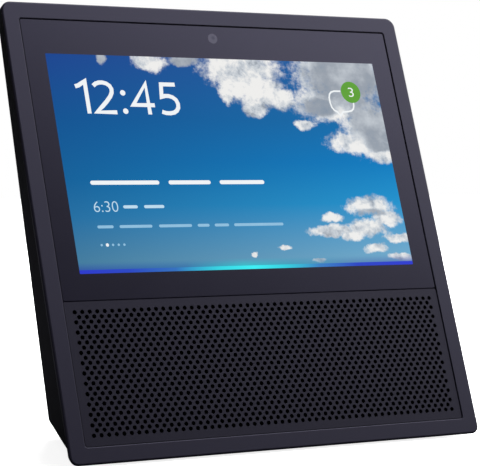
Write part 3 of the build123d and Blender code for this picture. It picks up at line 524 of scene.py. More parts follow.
# Each patch is (across, down, half width, half height).
CLOUD_PATCHES = [
    (88, 4, 19, 10), (95, 14, 13, 8), (85, 12, 9, 7), (92, 22, 6, 4), (79, 16, 3.5, 4), (105, 17, 8, 5),
    (139, 5, 25, 15), (132, 19, 21, 9), (148, 30, 15, 13), (140, 37, 15, 5), (152, 41, 10, 5),
    (114, 29, 5, 2.6), (24, 1.2, 2.0, 3.0), (46, 2.2, 8, 4.0), (62, 1.2, 7, 2.6), (139, 65, 12, 4.5),
    (146, 70, 7, 4), (136, 75, 10, 4), (119, 75.5, 12, 2.4), (120, 70, 5, 2.2), (128, 78, 6, 2.6),
    (138, 84, 6, 2.2), (151, 79, 7, 2.4), (150, 88, 6, 1.8), (93.5, 82.5, 3.6, 0.9), (79, 85.5, 1.2, 1.2),
    (109, 88.6, 3.2, 0.9),
]
SHADE_PATCHES = [
    (139, 8, 22, 15), (149, 26, 13, 15), (124, 21, 10, 5), (150, 38, 8, 3), (62, 1, 8, 4), (24, 1, 4, 4),
    (139, 68, 8, 2),
]


def tones(tree, value, stops):
    """A colour ramp from stops written in the eye's 0 to 255."""
    return colour_ramp(tree, value, [(at, light(*rgb)) for at, rgb in stops])


def nearest_patch(tree, point, patches):
    """Squared distance to the nearest patch, 1 at its edge."""
    least = None
    for x, down, half_w, half_h in patches:
        shrink = (1 / half_w, 1 / half_h, 0.0)
        shift = (-x / half_w, -down / half_h, 0.0)
        away = vector_maths(tree, "MULTIPLY_ADD", point, shrink, shift)
        square = vector_maths(tree, "DOT_PRODUCT", away, away)
        least = square if least is None else maths(tree, "MINIMUM", least, square)
    return least


def open_sky(group, across, down):
    """Two columns of blue, left and right, with the shades between them."""
    return mix_colour(group, across, tones(group, down, SKY_LEFT), tones(group, down, SKY_RIGHT))


def cloud_cover(group, here, warped):
    """How much cloud stands before the sky: round patches with torn edges."""
    ragged = noise(group, here, 0.3, 8.0, 0.68)
    inside = minus(group, 1.0, nearest_patch(group, warped, CLOUD_PATCHES))
    body = swing(group, ragged, 2.4, plus(group, inside, 0.12))
    return times(group, ramp_between(group, body, -0.35, 0.75), 0.96)


def cloud_tone(group, here, warped):
    """Bright billows, and flatter grey where the cloud is in shade."""
    puffs = noise(group, warped, 0.11, 6.0, 0.6)
    wisps = noise(group, here, 0.5, 4.0, 0.6)
    folds = noise(group, here, 0.06, 6.0, 0.6)
    relief = swing(group, puffs, 3.2, 0.86)
    relief = swing(group, wisps, 0.7, relief)
    dull = minus(group, 1.0, nearest_patch(group, warped, SHADE_PATCHES))
    shaded = times(group, ramp_between(group, dull, -0.5, 0.75), 0.88)
    gloom = swing(group, folds, 1.5, 0.26)
    flatter = minus(group, gloom, relief)
    bright = maths(group, "MULTIPLY_ADD", shaded, flatter, relief, clamp=True)
    return tones(group, bright, CLOUD_TONES)


def make_sky():
    """The lit picture as a colour. Down the picture is -y of the face."""
    group, given, out = shader_group("sky picture", {"Point": POINT}, {"Colour": "colour"})
    corner = (PICTURE_W / 2, PICTURE_RISE + PICTURE_H, 0)
    turned = {"Vector": given["Point"], "Scale": (1, -1, 0), "Location": corner}
    here = result(group, "ShaderNodeMapping", turned)
    parted = put(group, "ShaderNodeSeparateXYZ", {"Vector": here}).outputs
    down = maths(group, "DIVIDE", parted["Y"], PICTURE_H)
    across = maths(group, "DIVIDE", parted["X"], PICTURE_W)
    billow = noise(group, here, 0.09, 5.0, 0.62, output="Color")
    centred = vector_maths(group, "SUBTRACT", billow, (0.5, 0.5, 0.5))
    warped = vector_maths(group, "MULTIPLY_ADD", centred, (8.0, 6.5, 0.0), here)
    sky = open_sky(group, across, down)
    seen = mix_colour(group, cloud_cover(group, here, warped), sky, cloud_tone(group, here, warped))
    low = ramp_between(group, parted["Y"], PICTURE_H - 5.0, PICTURE_H - 1.0)
    edge = tones(group, across, LOW_EDGE_TONES)
    group.links.new(mix_colour(group, times(group, low, 0.8), seen, edge), out["Colour"])
    return group


SKY = make_sky()


def lit_finish(name, strength, colour_of, rough=0.14):
    """A lit layer of the screen: its colour shines, and the glass over it still reflects a little."""
    made, tree, shader, point = new_finish(name)
    flat = face_point(tree, point, GLASS_Y, GLASS_Z)
    plug(shader, "Emission Color", colour_of(tree, flat))
    smears = noise(tree, flat, 0.06, 5.0, 0.65)
    plug(shader, "Roughness", maths(tree, "MULTIPLY_ADD", smears, 0.05, rough))
    plug(shader, "Base Color", mix_colour(tree, smears, light(3, 4, 8), light(6, 8, 14)))
    settle(shader, Emission_Strength=strength, Specular_IOR_Level=0.04)
    return made


def sky_of(tree, flat):
    return use_group(tree, SKY, {"Point": flat})["Colour"]


def ink_of(pale, deep):
    """Two near shades that drift across a mark."""
    def colour(tree, flat):
        return mix_colour(tree, noise(tree, flat, 0.25, 3.0, 0.5), pale, deep)
    return colour


def glow_of(tree, flat):
    """The light bar: blue at the ends, cyan in the middle."""
    x = put(tree, "ShaderNodeSeparateXYZ", {"Vector": flat}).outputs["X"]
    across = maths(tree, "MULTIPLY_ADD", x, 1 / PICTURE_W, 0.5)
    return tones(tree, across, BAR_TONES)


# ---- one finish for each material slot of the record ----
# Moulded: colour, roughness, grain in mm, its depth, mottle, spread of roughness, softened edge.
# Metal: colour, roughness, line in mm, its depth, stain. Woven: colour, thread pitch, depth.
# Fibrous: colour, cells per mm, depth, roughness.
CHARCOAL_SHINE = {"Specular_Tint": CHARCOAL_TINT}
FINISHES = {
    "frame_plastic": moulded(
        "satin charcoal plastic", light(10, 9, 19), 0.32, 0.35, 0.005, 0.35, 0.1, 0.45,
        Specular_IOR_Level=0.62, **CHARCOAL_SHINE),
    "case_plastic": moulded(
        "matte black plastic", light(28, 28, 32), 0.56, 0.45, 0.02, 0.35, 0.12, 0.3, Specular_IOR_Level=0.16),
    "cover_glass": glass_finish("printed glass"),
    "grille_metal": moulded(
        "powder coated metal", light(8, 7, 14), 0.36, 0.22, 0.006, 0.3, 0.14,
        Specular_IOR_Level=0.45, **CHARCOAL_SHINE),
    "black_cloth": woven("speaker cloth", light(5, 5, 9), 0.42, 0.05, Specular_IOR_Level=0.0),
    "foot_rubber": moulded(
        "moulded rubber", light(24, 24, 26), 0.78, 0.9, 0.03, 0.4, 0.1, 0.4, Specular_IOR_Level=0.3),
    "key_plastic": moulded("key plastic", light(30, 29, 38), 0.34, 0.3, 0.005, 0.25, 0.1, 0.12),
    "white_plastic": moulded(
        "white nylon", light(206, 204, 196), 0.42, 0.5, 0.01, 0.1, 0.1, 0.1, Subsurface_Weight=0.1),
    "black_plastic": moulded("black nylon", light(27, 27, 29), 0.48, 0.4, 0.012, 0.3, 0.12, 0.1),
    "box_plastic": moulded("box plastic", light(38, 38, 41), 0.58, 0.7, 0.025, 0.35, 0.12, 0.3),
    "chassis_plastic": moulded("glass filled nylon", light(46, 47, 50), 0.55, 0.6, 0.02, 0.5, 0.18, 0.25),
    "circuit_board": circuit_board("green lacquered board"),
    "chip_black": moulded("epoxy package", light(28, 28, 30), 0.62, 0.12, 0.012, 0.25, 0.16, 0.08),
    "thermal_pad": moulded("silicone pad", light(126, 150, 168), 0.8, 0.5, 0.03, 0.2, 0.06, 0.1),
    "aluminium": metal("extruded aluminium", light(190, 192, 196), 0.38, 0.16, 0.006, 0.15),
    "plated_steel": metal("nickel plate", light(196, 192, 182), 0.26, 0.3, 0.002, 0.2),
    "steel": metal("zinced steel", light(172, 174, 178), 0.36, 0.2, 0.004, 0.35),
    "ferrite": fibrous("sintered ferrite", light(44, 43, 44), 1.6, 0.03, 0.72),
    "copper": metal("copper", light(196, 112, 70), 0.32, 0.16, 0.004, 0.3),
    "cone_paper": fibrous("pressed paper", light(42, 41, 42), 1.1, 0.06, 0.9),
    "spider_cloth": woven("resin dipped cloth", light(176, 128, 62), 0.5, 0.07, Sheen_Weight=0.1),
    "black_rubber": moulded("butyl rubber", light(24, 24, 25), 0.66, 0.6, 0.01, 0.3, 0.1),
    "black_foam": fibrous("closed cell foam", light(34, 34, 36), 2.4, 0.08, 0.95),
    "clear_film": moulded(
        "clear film", light(150, 158, 164), 0.12, 3.0, 0.001, 0.05, 0.03, Transmission_Weight=0.9),
    "lcd": lit_finish("lit panel", 1.0, sky_of, 0.3),
    "lens_glass": moulded("coated lens", light(26, 22, 52), 0.05, 2.0, 0.0005, 0.2, 0.02, Coat_Weight=0.6),
    "cable_film": moulded("cable film", light(188, 120, 46), 0.3, 0.6, 0.004, 0.2, 0.08),
}
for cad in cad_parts.values():
    for place in cad.material_slots:
        place.material = FINISHES[place.material.name.split(".")[0]]


# ---- making pieces ----
def add_piece(name, mesh, place, body, finish, smooth_angle=35.0):
    """Puts a mesh in its place, points its faces outwards and lets it ride on a body."""
    work = bmesh.new()
    work.from_mesh(mesh)
    bmesh.ops.remove_doubles(work, verts=work.verts, dist=0.0004)
    bmesh.ops.recalc_face_normals(work, faces=work.faces)
    work.to_mesh(mesh)
    work.free()
    mesh.transform(place)
    for face in mesh.polygons:
        face.use_smooth = True
    mesh.set_sharp_from_angle(angle=math.radians(smooth_angle))
    mesh.materials.clear()
    mesh.materials.append(finish)
    made = bpy.data.objects.new(name, mesh)
    bpy.context.scene.collection.objects.link(made)
    if body:
        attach(made, body)
    return made


def new_mesh(name, points, faces):
    mesh = bpy.data.meshes.new(name)
    mesh.from_pydata([tuple(p) for p in points], [], faces)
    return mesh


def join_meshes(name, shapes):
    """One mesh from several (points, faces)."""
    points, faces = [], []
    for more_points, more_faces in shapes:
        first = len(points)
        points += more_points
        faces += [[first + k for k in face] for face in more_faces]
    return new_mesh(name, points, faces)


def thin_plate(outline, low, high):
    """A plate between two heights, from a convex outline."""
    count = len(outline)
    points = [(x, y, low) for x, y in outline] + [(x, y, high) for x, y in outline]
    faces = [list(range(count))[::-1], [count + k for k in range(count)]]
    faces += [[k, (k + 1) % count, count + (k + 1) % count, count + k] for k in range(count)]
    return points, faces


def rounded_box(x0, x1, y0, y1, radius, steps=6):
    """A rectangle's outline with round corners."""
    outline = []
    left, right = x0 + radius, x1 - radius
    low, high = y0 + radius, y1 - radius
    for quarter, (cx, cy) in enumerate([(right, high), (left, high), (left, low), (right, low)]):
        for k in range(steps + 1):
            turn = math.pi / 2 * (quarter + k / steps)
            outline.append((cx + radius * math.cos(turn), cy + radius * math.sin(turn)))
    return outline


def disc_outline(x, y, radius, sides):
    turns = [math.tau * k / sides for k in range(sides)]
    return [(x + radius * math.cos(turn), y + radius * math.sin(turn)) for turn in turns]


def ring_between(inner, outer, low, high):
    """A closed ring, square in section, between two outlines with as many points."""
    count = len(inner)
    points = []
    for outline, z in ((inner, low), (outer, low), (outer, high), (inner, high)):
        points += [(x, y, z) for x, y in outline]
    faces = []
    for k in range(count):
        after = (k + 1) % count
        for row in range(4):
            up = (row + 1) % 4
            faces.append([row * count + k, row * count + after, up * count + after, up * count + k])
    return points, faces


def stroke(line, width, low, high):
    """A drawn line of even width, as a plate with mitred bends."""
    edges = ([], [])
    for k, (x, y) in enumerate(line):
        before = Vector(line[k]) - Vector(line[max(k - 1, 0)])
        after = Vector(line[min(k + 1, len(line) - 1)]) - Vector(line[k])
        heading = (before.normalized() + after.normalized()).normalized()
        piece = after if after.length else before
        bend = max(0.5, abs(heading.dot(piece.normalized())))
        side = Vector((-heading.y, heading.x)) * (width / 2 / bend)
        edges[0].append((x + side.x, y + side.y))
        edges[1].append((x - side.x, y - side.y))
    count = len(line)
    left, right = edges
    points = [(x, y, z) for z in (low, high) for x, y in left + right]
    faces = []
    for k in range(count - 1):
        a, b, c, d = k, k + 1, count + k + 1, count + k
        up = 2 * count
        faces += [[d, c, b, a], [a + up, b + up, c + up, d + up]]
        faces += [[a, b, b + up, a + up], [c, d, d + up, c + up]]
    for k in (0, count - 1):
        faces.append([k, count + k, 3 * count + k, 2 * count + k])
    return points, faces


def from_corner(across, down):
    """A place on the picture as (x, up the slope) on the glass."""
    return across - PICTURE_W / 2, PICTURE_RISE + PICTURE_H - down


# ---- the picture and what is shown on it ----
PICTURE_FRONT = FILM
MARK_FRONT = 2 * FILM
BADGE_FRONT = 3 * FILM
left_x, low_y = from_corner(0, PICTURE_H)
right_x, high_y = from_corner(PICTURE_W, 0)
PICTURE_FINISH = lit_finish("sky picture", 1.0, sky_of)
WHITE_INK = lit_finish("white marks", 0.95, ink_of(light(240, 246, 250), light(250, 252, 252)))
PALE_INK = lit_finish("pale marks", 1.0, ink_of(light(196, 224, 240), light(182, 214, 234)))
FAINT_INK = lit_finish("faint marks", 1.0, ink_of(light(150, 196, 224), light(138, 186, 218)))
GREEN_INK = lit_finish("green badge", 1.0, ink_of(light(100, 166, 58), light(88, 154, 50)))
BAR_GLOW = lit_finish("light bar", 1.0, glow_of)


def on_screen(name, shapes, finish):
    """A lit piece from several (points, faces)."""
    return add_piece(name, join_meshes(name, shapes), ON_GLASS, "display", finish)


def screen_mark(outline):
    return thin_plate(outline, PICTURE_FRONT, MARK_FRONT)


picture = thin_plate(rounded_box(left_x, right_x, low_y, high_y, 0.3, 2), 0.0, PICTURE_FRONT)
on_screen("screen_picture", [picture], PICTURE_FINISH)


def figures(name, text, across, down, wide, high, finish, front=MARK_FRONT, heavier=0.0, base=PICTURE_FRONT):
    """Plain figures, fitted to a box on the picture from its upper left corner."""
    drawn = bpy.data.curves.new(name, "FONT")
    drawn.body = text
    drawn.extrude = 1.0
    drawn.offset = heavier
    drawn.resolution_u = 6
    holder = bpy.data.objects.new(name, drawn)
    bpy.context.scene.collection.objects.link(holder)
    bpy.context.view_layer.update()
    seen = holder.evaluated_get(bpy.context.evaluated_depsgraph_get())
    mesh = bpy.data.meshes.new_from_object(seen)
    bpy.data.objects.remove(holder)
    xs = [v.co.x for v in mesh.vertices]
    ys = [v.co.y for v in mesh.vertices]
    x0, y1 = from_corner(across, down)
    for v in mesh.vertices:
        v.co.x = x0 + wide * (v.co.x - min(xs)) / (max(xs) - min(xs))
        v.co.y = y1 - high + high * (v.co.y - min(ys)) / (max(ys) - min(ys))
        v.co.z = front if v.co.z > 0 else base
    return add_piece(name, mesh, ON_GLASS, "display", finish)


# Strokes of the clock's figures in a box one unit high: width of the figure, then its lines.
CLOCK_STROKES = {
    "1": (0.36, [[(0.0, 0.83), (0.1, 0.86), (0.2, 0.93), (0.3, 0.99), (0.3, 0.0)]]),
    "2": (0.66, [[
        (0.04, 0.86), (0.12, 0.93), (0.22, 0.965), (0.32, 0.97), (0.43, 0.94), (0.52, 0.87), (0.56, 0.77),
        (0.55, 0.66), (0.49, 0.54), (0.37, 0.39), (0.22, 0.23), (0.04, 0.05), (0.62, 0.05)]]),
    "4": (0.71, [[(0.5, 0.0), (0.5, 0.96), (0.04, 0.29), (0.68, 0.29)]]),
    "5": (0.6, [[
        (0.55, 0.955), (0.13, 0.955), (0.09, 0.56), (0.2, 0.59), (0.31, 0.59), (0.42, 0.55), (0.51, 0.47),
        (0.55, 0.35), (0.54, 0.23), (0.48, 0.13), (0.39, 0.07), (0.27, 0.045), (0.15, 0.05), (0.03, 0.09)]]),
}
CLOCK_GAP = 0.13
COLON_DOT = 0.68  # radius of the colon's dots, as a share of the pen
COLON_W = 0.17
COLON_RISES = (0.09, 0.66)


def clock_figures(across, down, wide, high, thick):
    """The clock's figures drawn with an even pen, and the colon's two dots."""
    shapes = []
    x = 0.0
    for mark in "12:45":
        if mark == ":":
            shapes += [(x + COLON_W / 2, up) for up in COLON_RISES]
            x += COLON_W + CLOCK_GAP
            continue
        width, lines = CLOCK_STROKES[mark]
        shapes += [[(x + a, b) for a, b in line] for line in lines]
        x += width + CLOCK_GAP
    scale = wide / (x - CLOCK_GAP)
    x0, top = from_corner(across, down)
    made = []
    for shape in shapes:
        if isinstance(shape, tuple):
            spot_at = (x0 + scale * shape[0], top - high + high * shape[1])
            made.append(screen_mark(disc_outline(*spot_at, COLON_DOT * thick, 24)))
        else:
            line = [(x0 + scale * a, top - high + high * b) for a, b in shape]
            made.append(stroke(line, thick, PICTURE_FRONT, MARK_FRONT))
    on_screen("clock_figures", made, WHITE_INK)


clock_figures(10.7, 11.4, 45.8, 13.8, 1.75)
figures("time_figures", "6:30", 10.4, 61.9, 10.6, 4.4, PALE_INK, heavier=-0.012)


def word_bars(name, bars, down, thick, finish):
    """A row of round-ended bars, one for each word of a line: (from, to) across the picture."""
    shapes = []
    for start, end in bars:
        x0, y = from_corner(start, down)
        x1, _ = from_corner(end, down)
        shapes.append(screen_mark(rounded_box(x0, x1, y - thick / 2, y + thick / 2, thick / 2.02)))
    return on_screen(name, shapes, finish)


TITLE_WORDS = [(10.6, 41.0), (45.2, 64.4), (68.6, 89.6)]
DETAIL_WORDS = [(23.2, 29.6), (32.4, 41.4)]
HINT_WORDS = [(10.6, 17.6), (20.2, 34.6), (37.6, 52.4), (55.0, 60.4), (62.8, 69.4), (71.8, 95.0)]
word_bars("title_bars", TITLE_WORDS, 54.2, 1.7, WHITE_INK)
word_bars("detail_bars", DETAIL_WORDS, 64.3, 1.3, PALE_INK)
word_bars("hint_bars", HINT_WORDS, 72.4, 1.2, FAINT_INK)

DOTS = 5
DOT_HERE = 1
DOT_ACROSS = 11.2
DOT_PITCH = 2.45
DOT_DOWN = 79.8


def page_dots():
    """A row of dots, with the dot of the page shown larger and whiter."""
    places = [from_corner(DOT_ACROSS + DOT_PITCH * k, DOT_DOWN) for k in range(DOTS)]
    here = places.pop(DOT_HERE)
    on_screen("page_dots", [screen_mark(disc_outline(*at, 0.5, 20)) for at in places], FAINT_INK)
    on_screen("page_dot_here", [screen_mark(disc_outline(*here, 0.68, 24))], WHITE_INK)


page_dots()

BUBBLE = [
    (135.8, 13.2), (132.6, 13.25), (131.0, 13.7), (130.0, 14.7), (129.5, 16.4), (129.5, 18.6), (129.9, 20.6),
    (130.9, 22.0), (132.3, 22.7), (133.6, 24.5), (135.2, 22.7), (137.8, 22.5), (139.6, 22.1), (140.7, 21.2),
    (141.2, 19.9), (141.4, 18.3),
]
BUBBLE_PEN = 0.75
BADGE_AT = (141.0, 13.6)
BADGE_R = 4.9
BAR_H = 1.5
bubble_line = [from_corner(*at) for at in BUBBLE]
bubble = stroke(bubble_line, BUBBLE_PEN, PICTURE_FRONT, MARK_FRONT)
on_screen("message_bubble", [bubble], WHITE_INK)
on_screen("message_badge", [screen_mark(disc_outline(*from_corner(*BADGE_AT), BADGE_R, 64))], GREEN_INK)
figures("badge_figure", "3", 139.8, 11.5, 2.6, 4.2, WHITE_INK, BADGE_FRONT, -0.006, MARK_FRONT)
light_bar = screen_mark(rounded_box(left_x, right_x, low_y, low_y + BAR_H, 0.3, 2))
on_screen("light_bar", [light_bar], BAR_GLOW)


# ---- geometry node helpers ----
def geometry_tree(name, inputs):
    """A node tree with named inputs. Returns the tree, its inputs and the geometry output."""
    kinds = {"length": "NodeSocketFloat", "count": "NodeSocketInt", "finish": "NodeSocketMaterial"}
    tree = bpy.data.node_groups.new(name, "GeometryNodeTree")
    for label, kind in inputs.items():
        tree.interface.new_socket(label, in_out="INPUT", socket_type=kinds[kind])
    tree.interface.new_socket("Geometry", in_out="OUTPUT", socket_type="NodeSocketGeometry")
    return tree, tree.nodes.new("NodeGroupInput").outputs, tree.nodes.new("NodeGroupOutput").inputs


def joined(tree, *sources):
    made = tree.nodes.new("GeometryNodeJoinGeometry")
    for source in reversed(sources):
        tree.links.new(source, made.inputs[0])
    return made.outputs[0]


def grow(name, tree, values):
    """Runs a tree with its named inputs and keeps the result as a plain mesh."""
    holder = bpy.data.objects.new(name, bpy.data.meshes.new(name))
    bpy.context.scene.collection.objects.link(holder)
    modifier = holder.modifiers.new(name, "NODES")
    modifier.node_group = tree
    for item in tree.interface.items_tree:
        if item.in_out == "INPUT":
            modifier[item.identifier] = values[item.name]
    seen = holder.evaluated_get(bpy.context.evaluated_depsgraph_get())
    mesh = bpy.data.meshes.new_from_object(seen)
    holder.modifiers.remove(modifier)
    bpy.data.objects.remove(holder)
    return mesh


# ---- perforated grille ----
def grille_tree():
    """A sheet with round corners and rows of round holes, each with a broken front edge."""
    names = ["Width", "Height", "Corner", "Thickness", "Hole Radius", "Rim", "Hole Pitch", "Row Pitch"]
    inputs = {label: "length" for label in names}
    inputs.update({"Long Count": "count", "Long Rows": "count", "Hole Sides": "count", "Finish": "finish"})
    tree, given, out = geometry_tree("perforated sheet", inputs)

    def row_points(fewer):
        count = minus(tree, given["Long Count"], float(fewer))
        rows = minus(tree, given["Long Rows"], float(fewer))
        wide = times(tree, minus(tree, count, 1.0), given["Hole Pitch"])
        step = times(tree, given["Row Pitch"], 2.0)
        high = times(tree, minus(tree, rows, 1.0), step)
        values = {"Size X": wide, "Size Y": high, "Vertices X": count, "Vertices Y": rows}
        return put(tree, "GeometryNodeMeshGrid", values).outputs["Mesh"]

    points = joined(tree, row_points(0), row_points(1))
    values = {"Width": given["Width"], "Height": given["Height"]}
    rectangle = put(tree, "GeometryNodeCurvePrimitiveQuadrilateral", values)
    values = {"Curve": rectangle.outputs[0], "Radius": given["Corner"], "Count": 5}
    outline = result(tree, "GeometryNodeFilletCurve", values, mode="POLY")
    wide_hole = plus(tree, given["Hole Radius"], given["Rim"])
    back = times(tree, given["Thickness"], -1.0)

    def shifted(geometry, z):
        move = result(tree, "ShaderNodeCombineXYZ", {"Z": z})
        return result(tree, "GeometryNodeTransform", {"Geometry": geometry, "Translation": move})

    def on_points(instance):
        values = {"Points": points, "Instance": instance}
        placed = result(tree, "GeometryNodeInstanceOnPoints", values)
        return result(tree, "GeometryNodeRealizeInstances", {"Geometry": placed})

    def pierced(radius):
        values = {"Resolution": given["Hole Sides"], "Radius": radius}
        circle = result(tree, "GeometryNodeCurvePrimitiveCircle", values)
        lines = joined(tree, outline, on_points(circle))
        return result(tree, "GeometryNodeFillCurve", {"Curve": lines}, mode="TRIANGLES")

    front = pierced(wide_hole)
    rear = shifted(pierced(given["Hole Radius"]), back)
    values = {
        "Vertices": given["Hole Sides"],
        "Radius Top": wide_hole,
        "Radius Bottom": given["Hole Radius"],
        "Depth": given["Rim"],
    }
    chamfer = put(tree, "GeometryNodeMeshCone", values, fill_type="NONE").outputs["Mesh"]
    chamfer = shifted(chamfer, times(tree, given["Rim"], -1.0))
    wall_t = minus(tree, given["Thickness"], given["Rim"])
    values = {"Vertices": given["Hole Sides"], "Radius": given["Hole Radius"], "Depth": wall_t}
    wall = put(tree, "GeometryNodeMeshCylinder", values, fill_type="NONE").outputs["Mesh"]
    middle = times(tree, plus(tree, given["Thickness"], given["Rim"]), -0.5)
    holes = on_points(joined(tree, chamfer, shifted(wall, middle)))
    rim_line = result(tree, "GeometryNodeCurveToMesh", {"Curve": outline})
    sweep = result(tree, "ShaderNodeCombineXYZ", {"Z": back})
    values = {"Mesh": rim_line, "Offset": sweep, "Offset Scale": 1.0}
    side = put(tree, "GeometryNodeExtrudeMesh", values, mode="EDGES").outputs["Mesh"]
    whole = joined(tree, front, rear, holes, side)
    welded = result(tree, "GeometryNodeMergeByDistance", {"Geometry": whole, "Distance": 0.001})
    real = result(tree, "GeometryNodeRealizeInstances", {"Geometry": welded})
    values = {"Geometry": real, "Material": given["Finish"]}
    finished = result(tree, "GeometryNodeSetMaterial", values)
    tree.links.new(finished, out[0])
    return tree


GRILLE_VALUES = {
    "Width": GRILLE_W,
    "Height": GRILLE_H,
    "Corner": PANEL_CORNER,
    "Thickness": GRILLE_T,
    "Hole Radius": HOLE_R,
    "Rim": HOLE_RIM,
    "Hole Pitch": HOLE_PITCH,
    "Row Pitch": ROW_PITCH,
    "Long Count": LONG_COUNT,
    "Long Rows": LONG_ROWS,
    "Hole Sides": HOLE_SIDES,
    "Finish": FINISHES["grille_metal"],
}
grille = grow("grille_sheet", grille_tree(), GRILLE_VALUES)
grille_place = ON_GRILLE @ Matrix.Translation((0, GRILLE_H / 2, 0))
grille_coat = FINISHES["grille_metal"]
grille_piece = add_piece("grille_sheet", grille, grille_place, "display", grille_coat)
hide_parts("speaker_grille")


# ---- the speakers' soft suspension: it follows the basket outside and the cone inside ----
def turned_ring(profile, segments=72):
    """A closed ring from a profile of (radius, out) points."""
    count = len(profile)
    points = []
    for k in range(segments):
        turn = math.tau * k / segments
        points += [(r * math.cos(turn), r * math.sin(turn), out) for r, out in profile]
    faces = []
    for k in range(segments):
        here, there = k * count, (k + 1) % segments * count
        for j in range(count):
            n = (j + 1) % count
            faces.append([here + j, here + n, there + n, there + j])
    return points, faces


def surround_profile():
    """Outer lip, half roll and inner lip."""
    start = math.asin(ROLL_T / ROLL_R)
    step = (math.pi - 2 * start) / ROLL_STEPS
    inner_r = ROLL_R - ROLL_T
    outer, inner = [], []
    for k in range(ROLL_STEPS + 1):
        a, b = start + k * step, math.pi * (1 - k / ROLL_STEPS)
        outer.append((ROLL_MIDDLE + ROLL_R * math.cos(a), ROLL_R * math.sin(a)))
        inner.append((ROLL_MIDDLE + inner_r * math.cos(b), inner_r * math.sin(b)))
    lip = [(LIP_OUT, 0.0), (LIP_OUT, ROLL_T)]
    return lip + outer + [(LIP_IN, ROLL_T), (LIP_IN, 0.0)] + inner


def spider_profile():
    """A corrugated cloth ring from the coil to the basket's shoulder."""
    line = []
    for k in range(SPIDER_STEPS + 1):
        share = k / SPIDER_STEPS
        ease = math.sin(math.pi * share) ** 0.5
        wave = math.sin(math.tau * SPIDER_WAVES * share)
        line.append((SPIDER_IN + (SPIDER_OUT - SPIDER_IN) * share, WAVE_H * ease * wave))
    return line + [(r, out - SPIDER_T) for r, out in reversed(line)]


def flexing_ring(name, node, body, profile, slot, out_of_seat, fixed_r, free_r):
    """A ring that stands still from fixed_r outwards and moves with the body from free_r inwards."""
    low, high = mm_box(node)
    centre = (low + high) / 2
    points, faces = turned_ring(profile)
    leaning = Matrix.Translation(centre * MM) @ TILT @ Matrix.Scale(MM, 4)
    place = leaning @ Matrix.Translation((0, 0, out_of_seat))
    ring = add_piece(name, new_mesh(name, points, faces), place, None, FINISHES[slot])
    axis = TILT.to_3x3() @ Vector((0, 0, 1))
    fixed_at = (centre + Vector((fixed_r, 0, 0))) * MM
    free_at = (centre + Vector((free_r, 0, 0))) * MM
    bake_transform(ring, "display", body, fixed_at, free_at)
    # The weights follow the radius, where a blend runs along one line.
    weights = ring.data.attributes["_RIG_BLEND"]
    for k, v in enumerate(ring.data.vertices):
        away = v.co - centre * MM
        radius = (away - axis * away.dot(axis)).length / MM
        share = min(max((fixed_r - radius) / (fixed_r - free_r), 0.0), 1.0)
        weights.data[k].value = share * share * (3 - 2 * share)
    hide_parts(node)


for side in ("left", "right"):
    diaphragm = side + "_diaphragm"
    roll = (surround_profile(), "black_rubber", -0.8, 19.6, 16.8)
    cloth = (spider_profile(), "spider_cloth", 0.15, 13.2, 6.9)
    flexing_ring(side + "_roll_surround", side + "_surround", diaphragm, *roll)
    flexing_ring(side + "_corrugated_spider", side + "_spider", diaphragm, *cloth)


# ---- printed marks that fill the shallow cuts in the keys' tops ----
def mark_box(x0, x1, y0, y1):
    return thin_plate([(x0, y0), (x1, y0), (x1, y1), (x0, y1)], MARK_LOW, MARK_HIGH)


def mark_ring(inner, outer, sides=48):
    circles = [disc_outline(0, 0, radius, sides) for radius in (inner, outer)]
    return ring_between(*circles, MARK_LOW, MARK_HIGH)


def slanting_bar(half_length, half_width):
    slant = math.sqrt(0.5)
    a, b = half_length, half_width
    outline = [(slant * (x - y), slant * (x + y)) for x, y in [(-a, -b), (a, -b), (a, b), (-a, b)]]
    return thin_plate(outline, MARK_LOW, MARK_HIGH)


def key_marks():
    """A minus, a plus, and a barred circle, one on each key."""
    line = mark_box(-MARK_HALF, MARK_HALF, -MARK_PEN, MARK_PEN)
    upper = mark_box(-MARK_PEN, MARK_PEN, MARK_PEN, MARK_HALF)
    lower = mark_box(-MARK_PEN, MARK_PEN, -MARK_HALF, -MARK_PEN)
    barred = [mark_ring(1.36, MARK_HALF), slanting_bar(1.34, 0.165)]
    marks = {"mute": barred, "volume_down": [line], "volume_up": [line, upper, lower]}
    ink = moulded("printed mark", light(176, 177, 184), 0.5, 0.6, 0.004, 0.15, 0.1)
    for key, shapes in marks.items():
        low, high = mm_box(key + "_key")
        top = Vector(((low.x + high.x) / 2, (low.y + high.y) / 2, high.z)) * MM
        place = Matrix.Translation(top) @ Matrix.Scale(MM, 4)
        name = key + "_mark"
        add_piece(name, join_meshes(name, shapes), place, key + "_button", ink)


key_marks()


# ---- the soft seal in the seam round the glass and the grille ----
def seam_seal(name, wide, high, place):
    """A ring that fills the seam round a panel, a little below its front."""
    outlines = []
    for out in (SEAL_PLAY, SEAM - SEAL_PLAY):
        half = wide / 2 + out
        outlines.append(rounded_box(-half, half, -out, high + out, PANEL_CORNER + out))
    points, faces = ring_between(*outlines, SEAL_LOW, SEAL_TOP)
    add_piece(name, new_mesh(name, points, faces), place, "display", SEAL_FINISH)


SEAL_FINISH = moulded(
    "seam seal", light(46, 44, 58), 0.8, 0.6, 0.01, 0.3, 0.1, Specular_IOR_Level=0.1)
seam_seal("glass_seam_seal", GLASS_W, GLASS_H, ON_GLASS)
seam_seal("grille_seam_seal", GRILLE_W, GRILLE_H, ON_GRILLE)


# ---- floor, light and camera ----
FLOOR_HALF = 6.0  # in metres


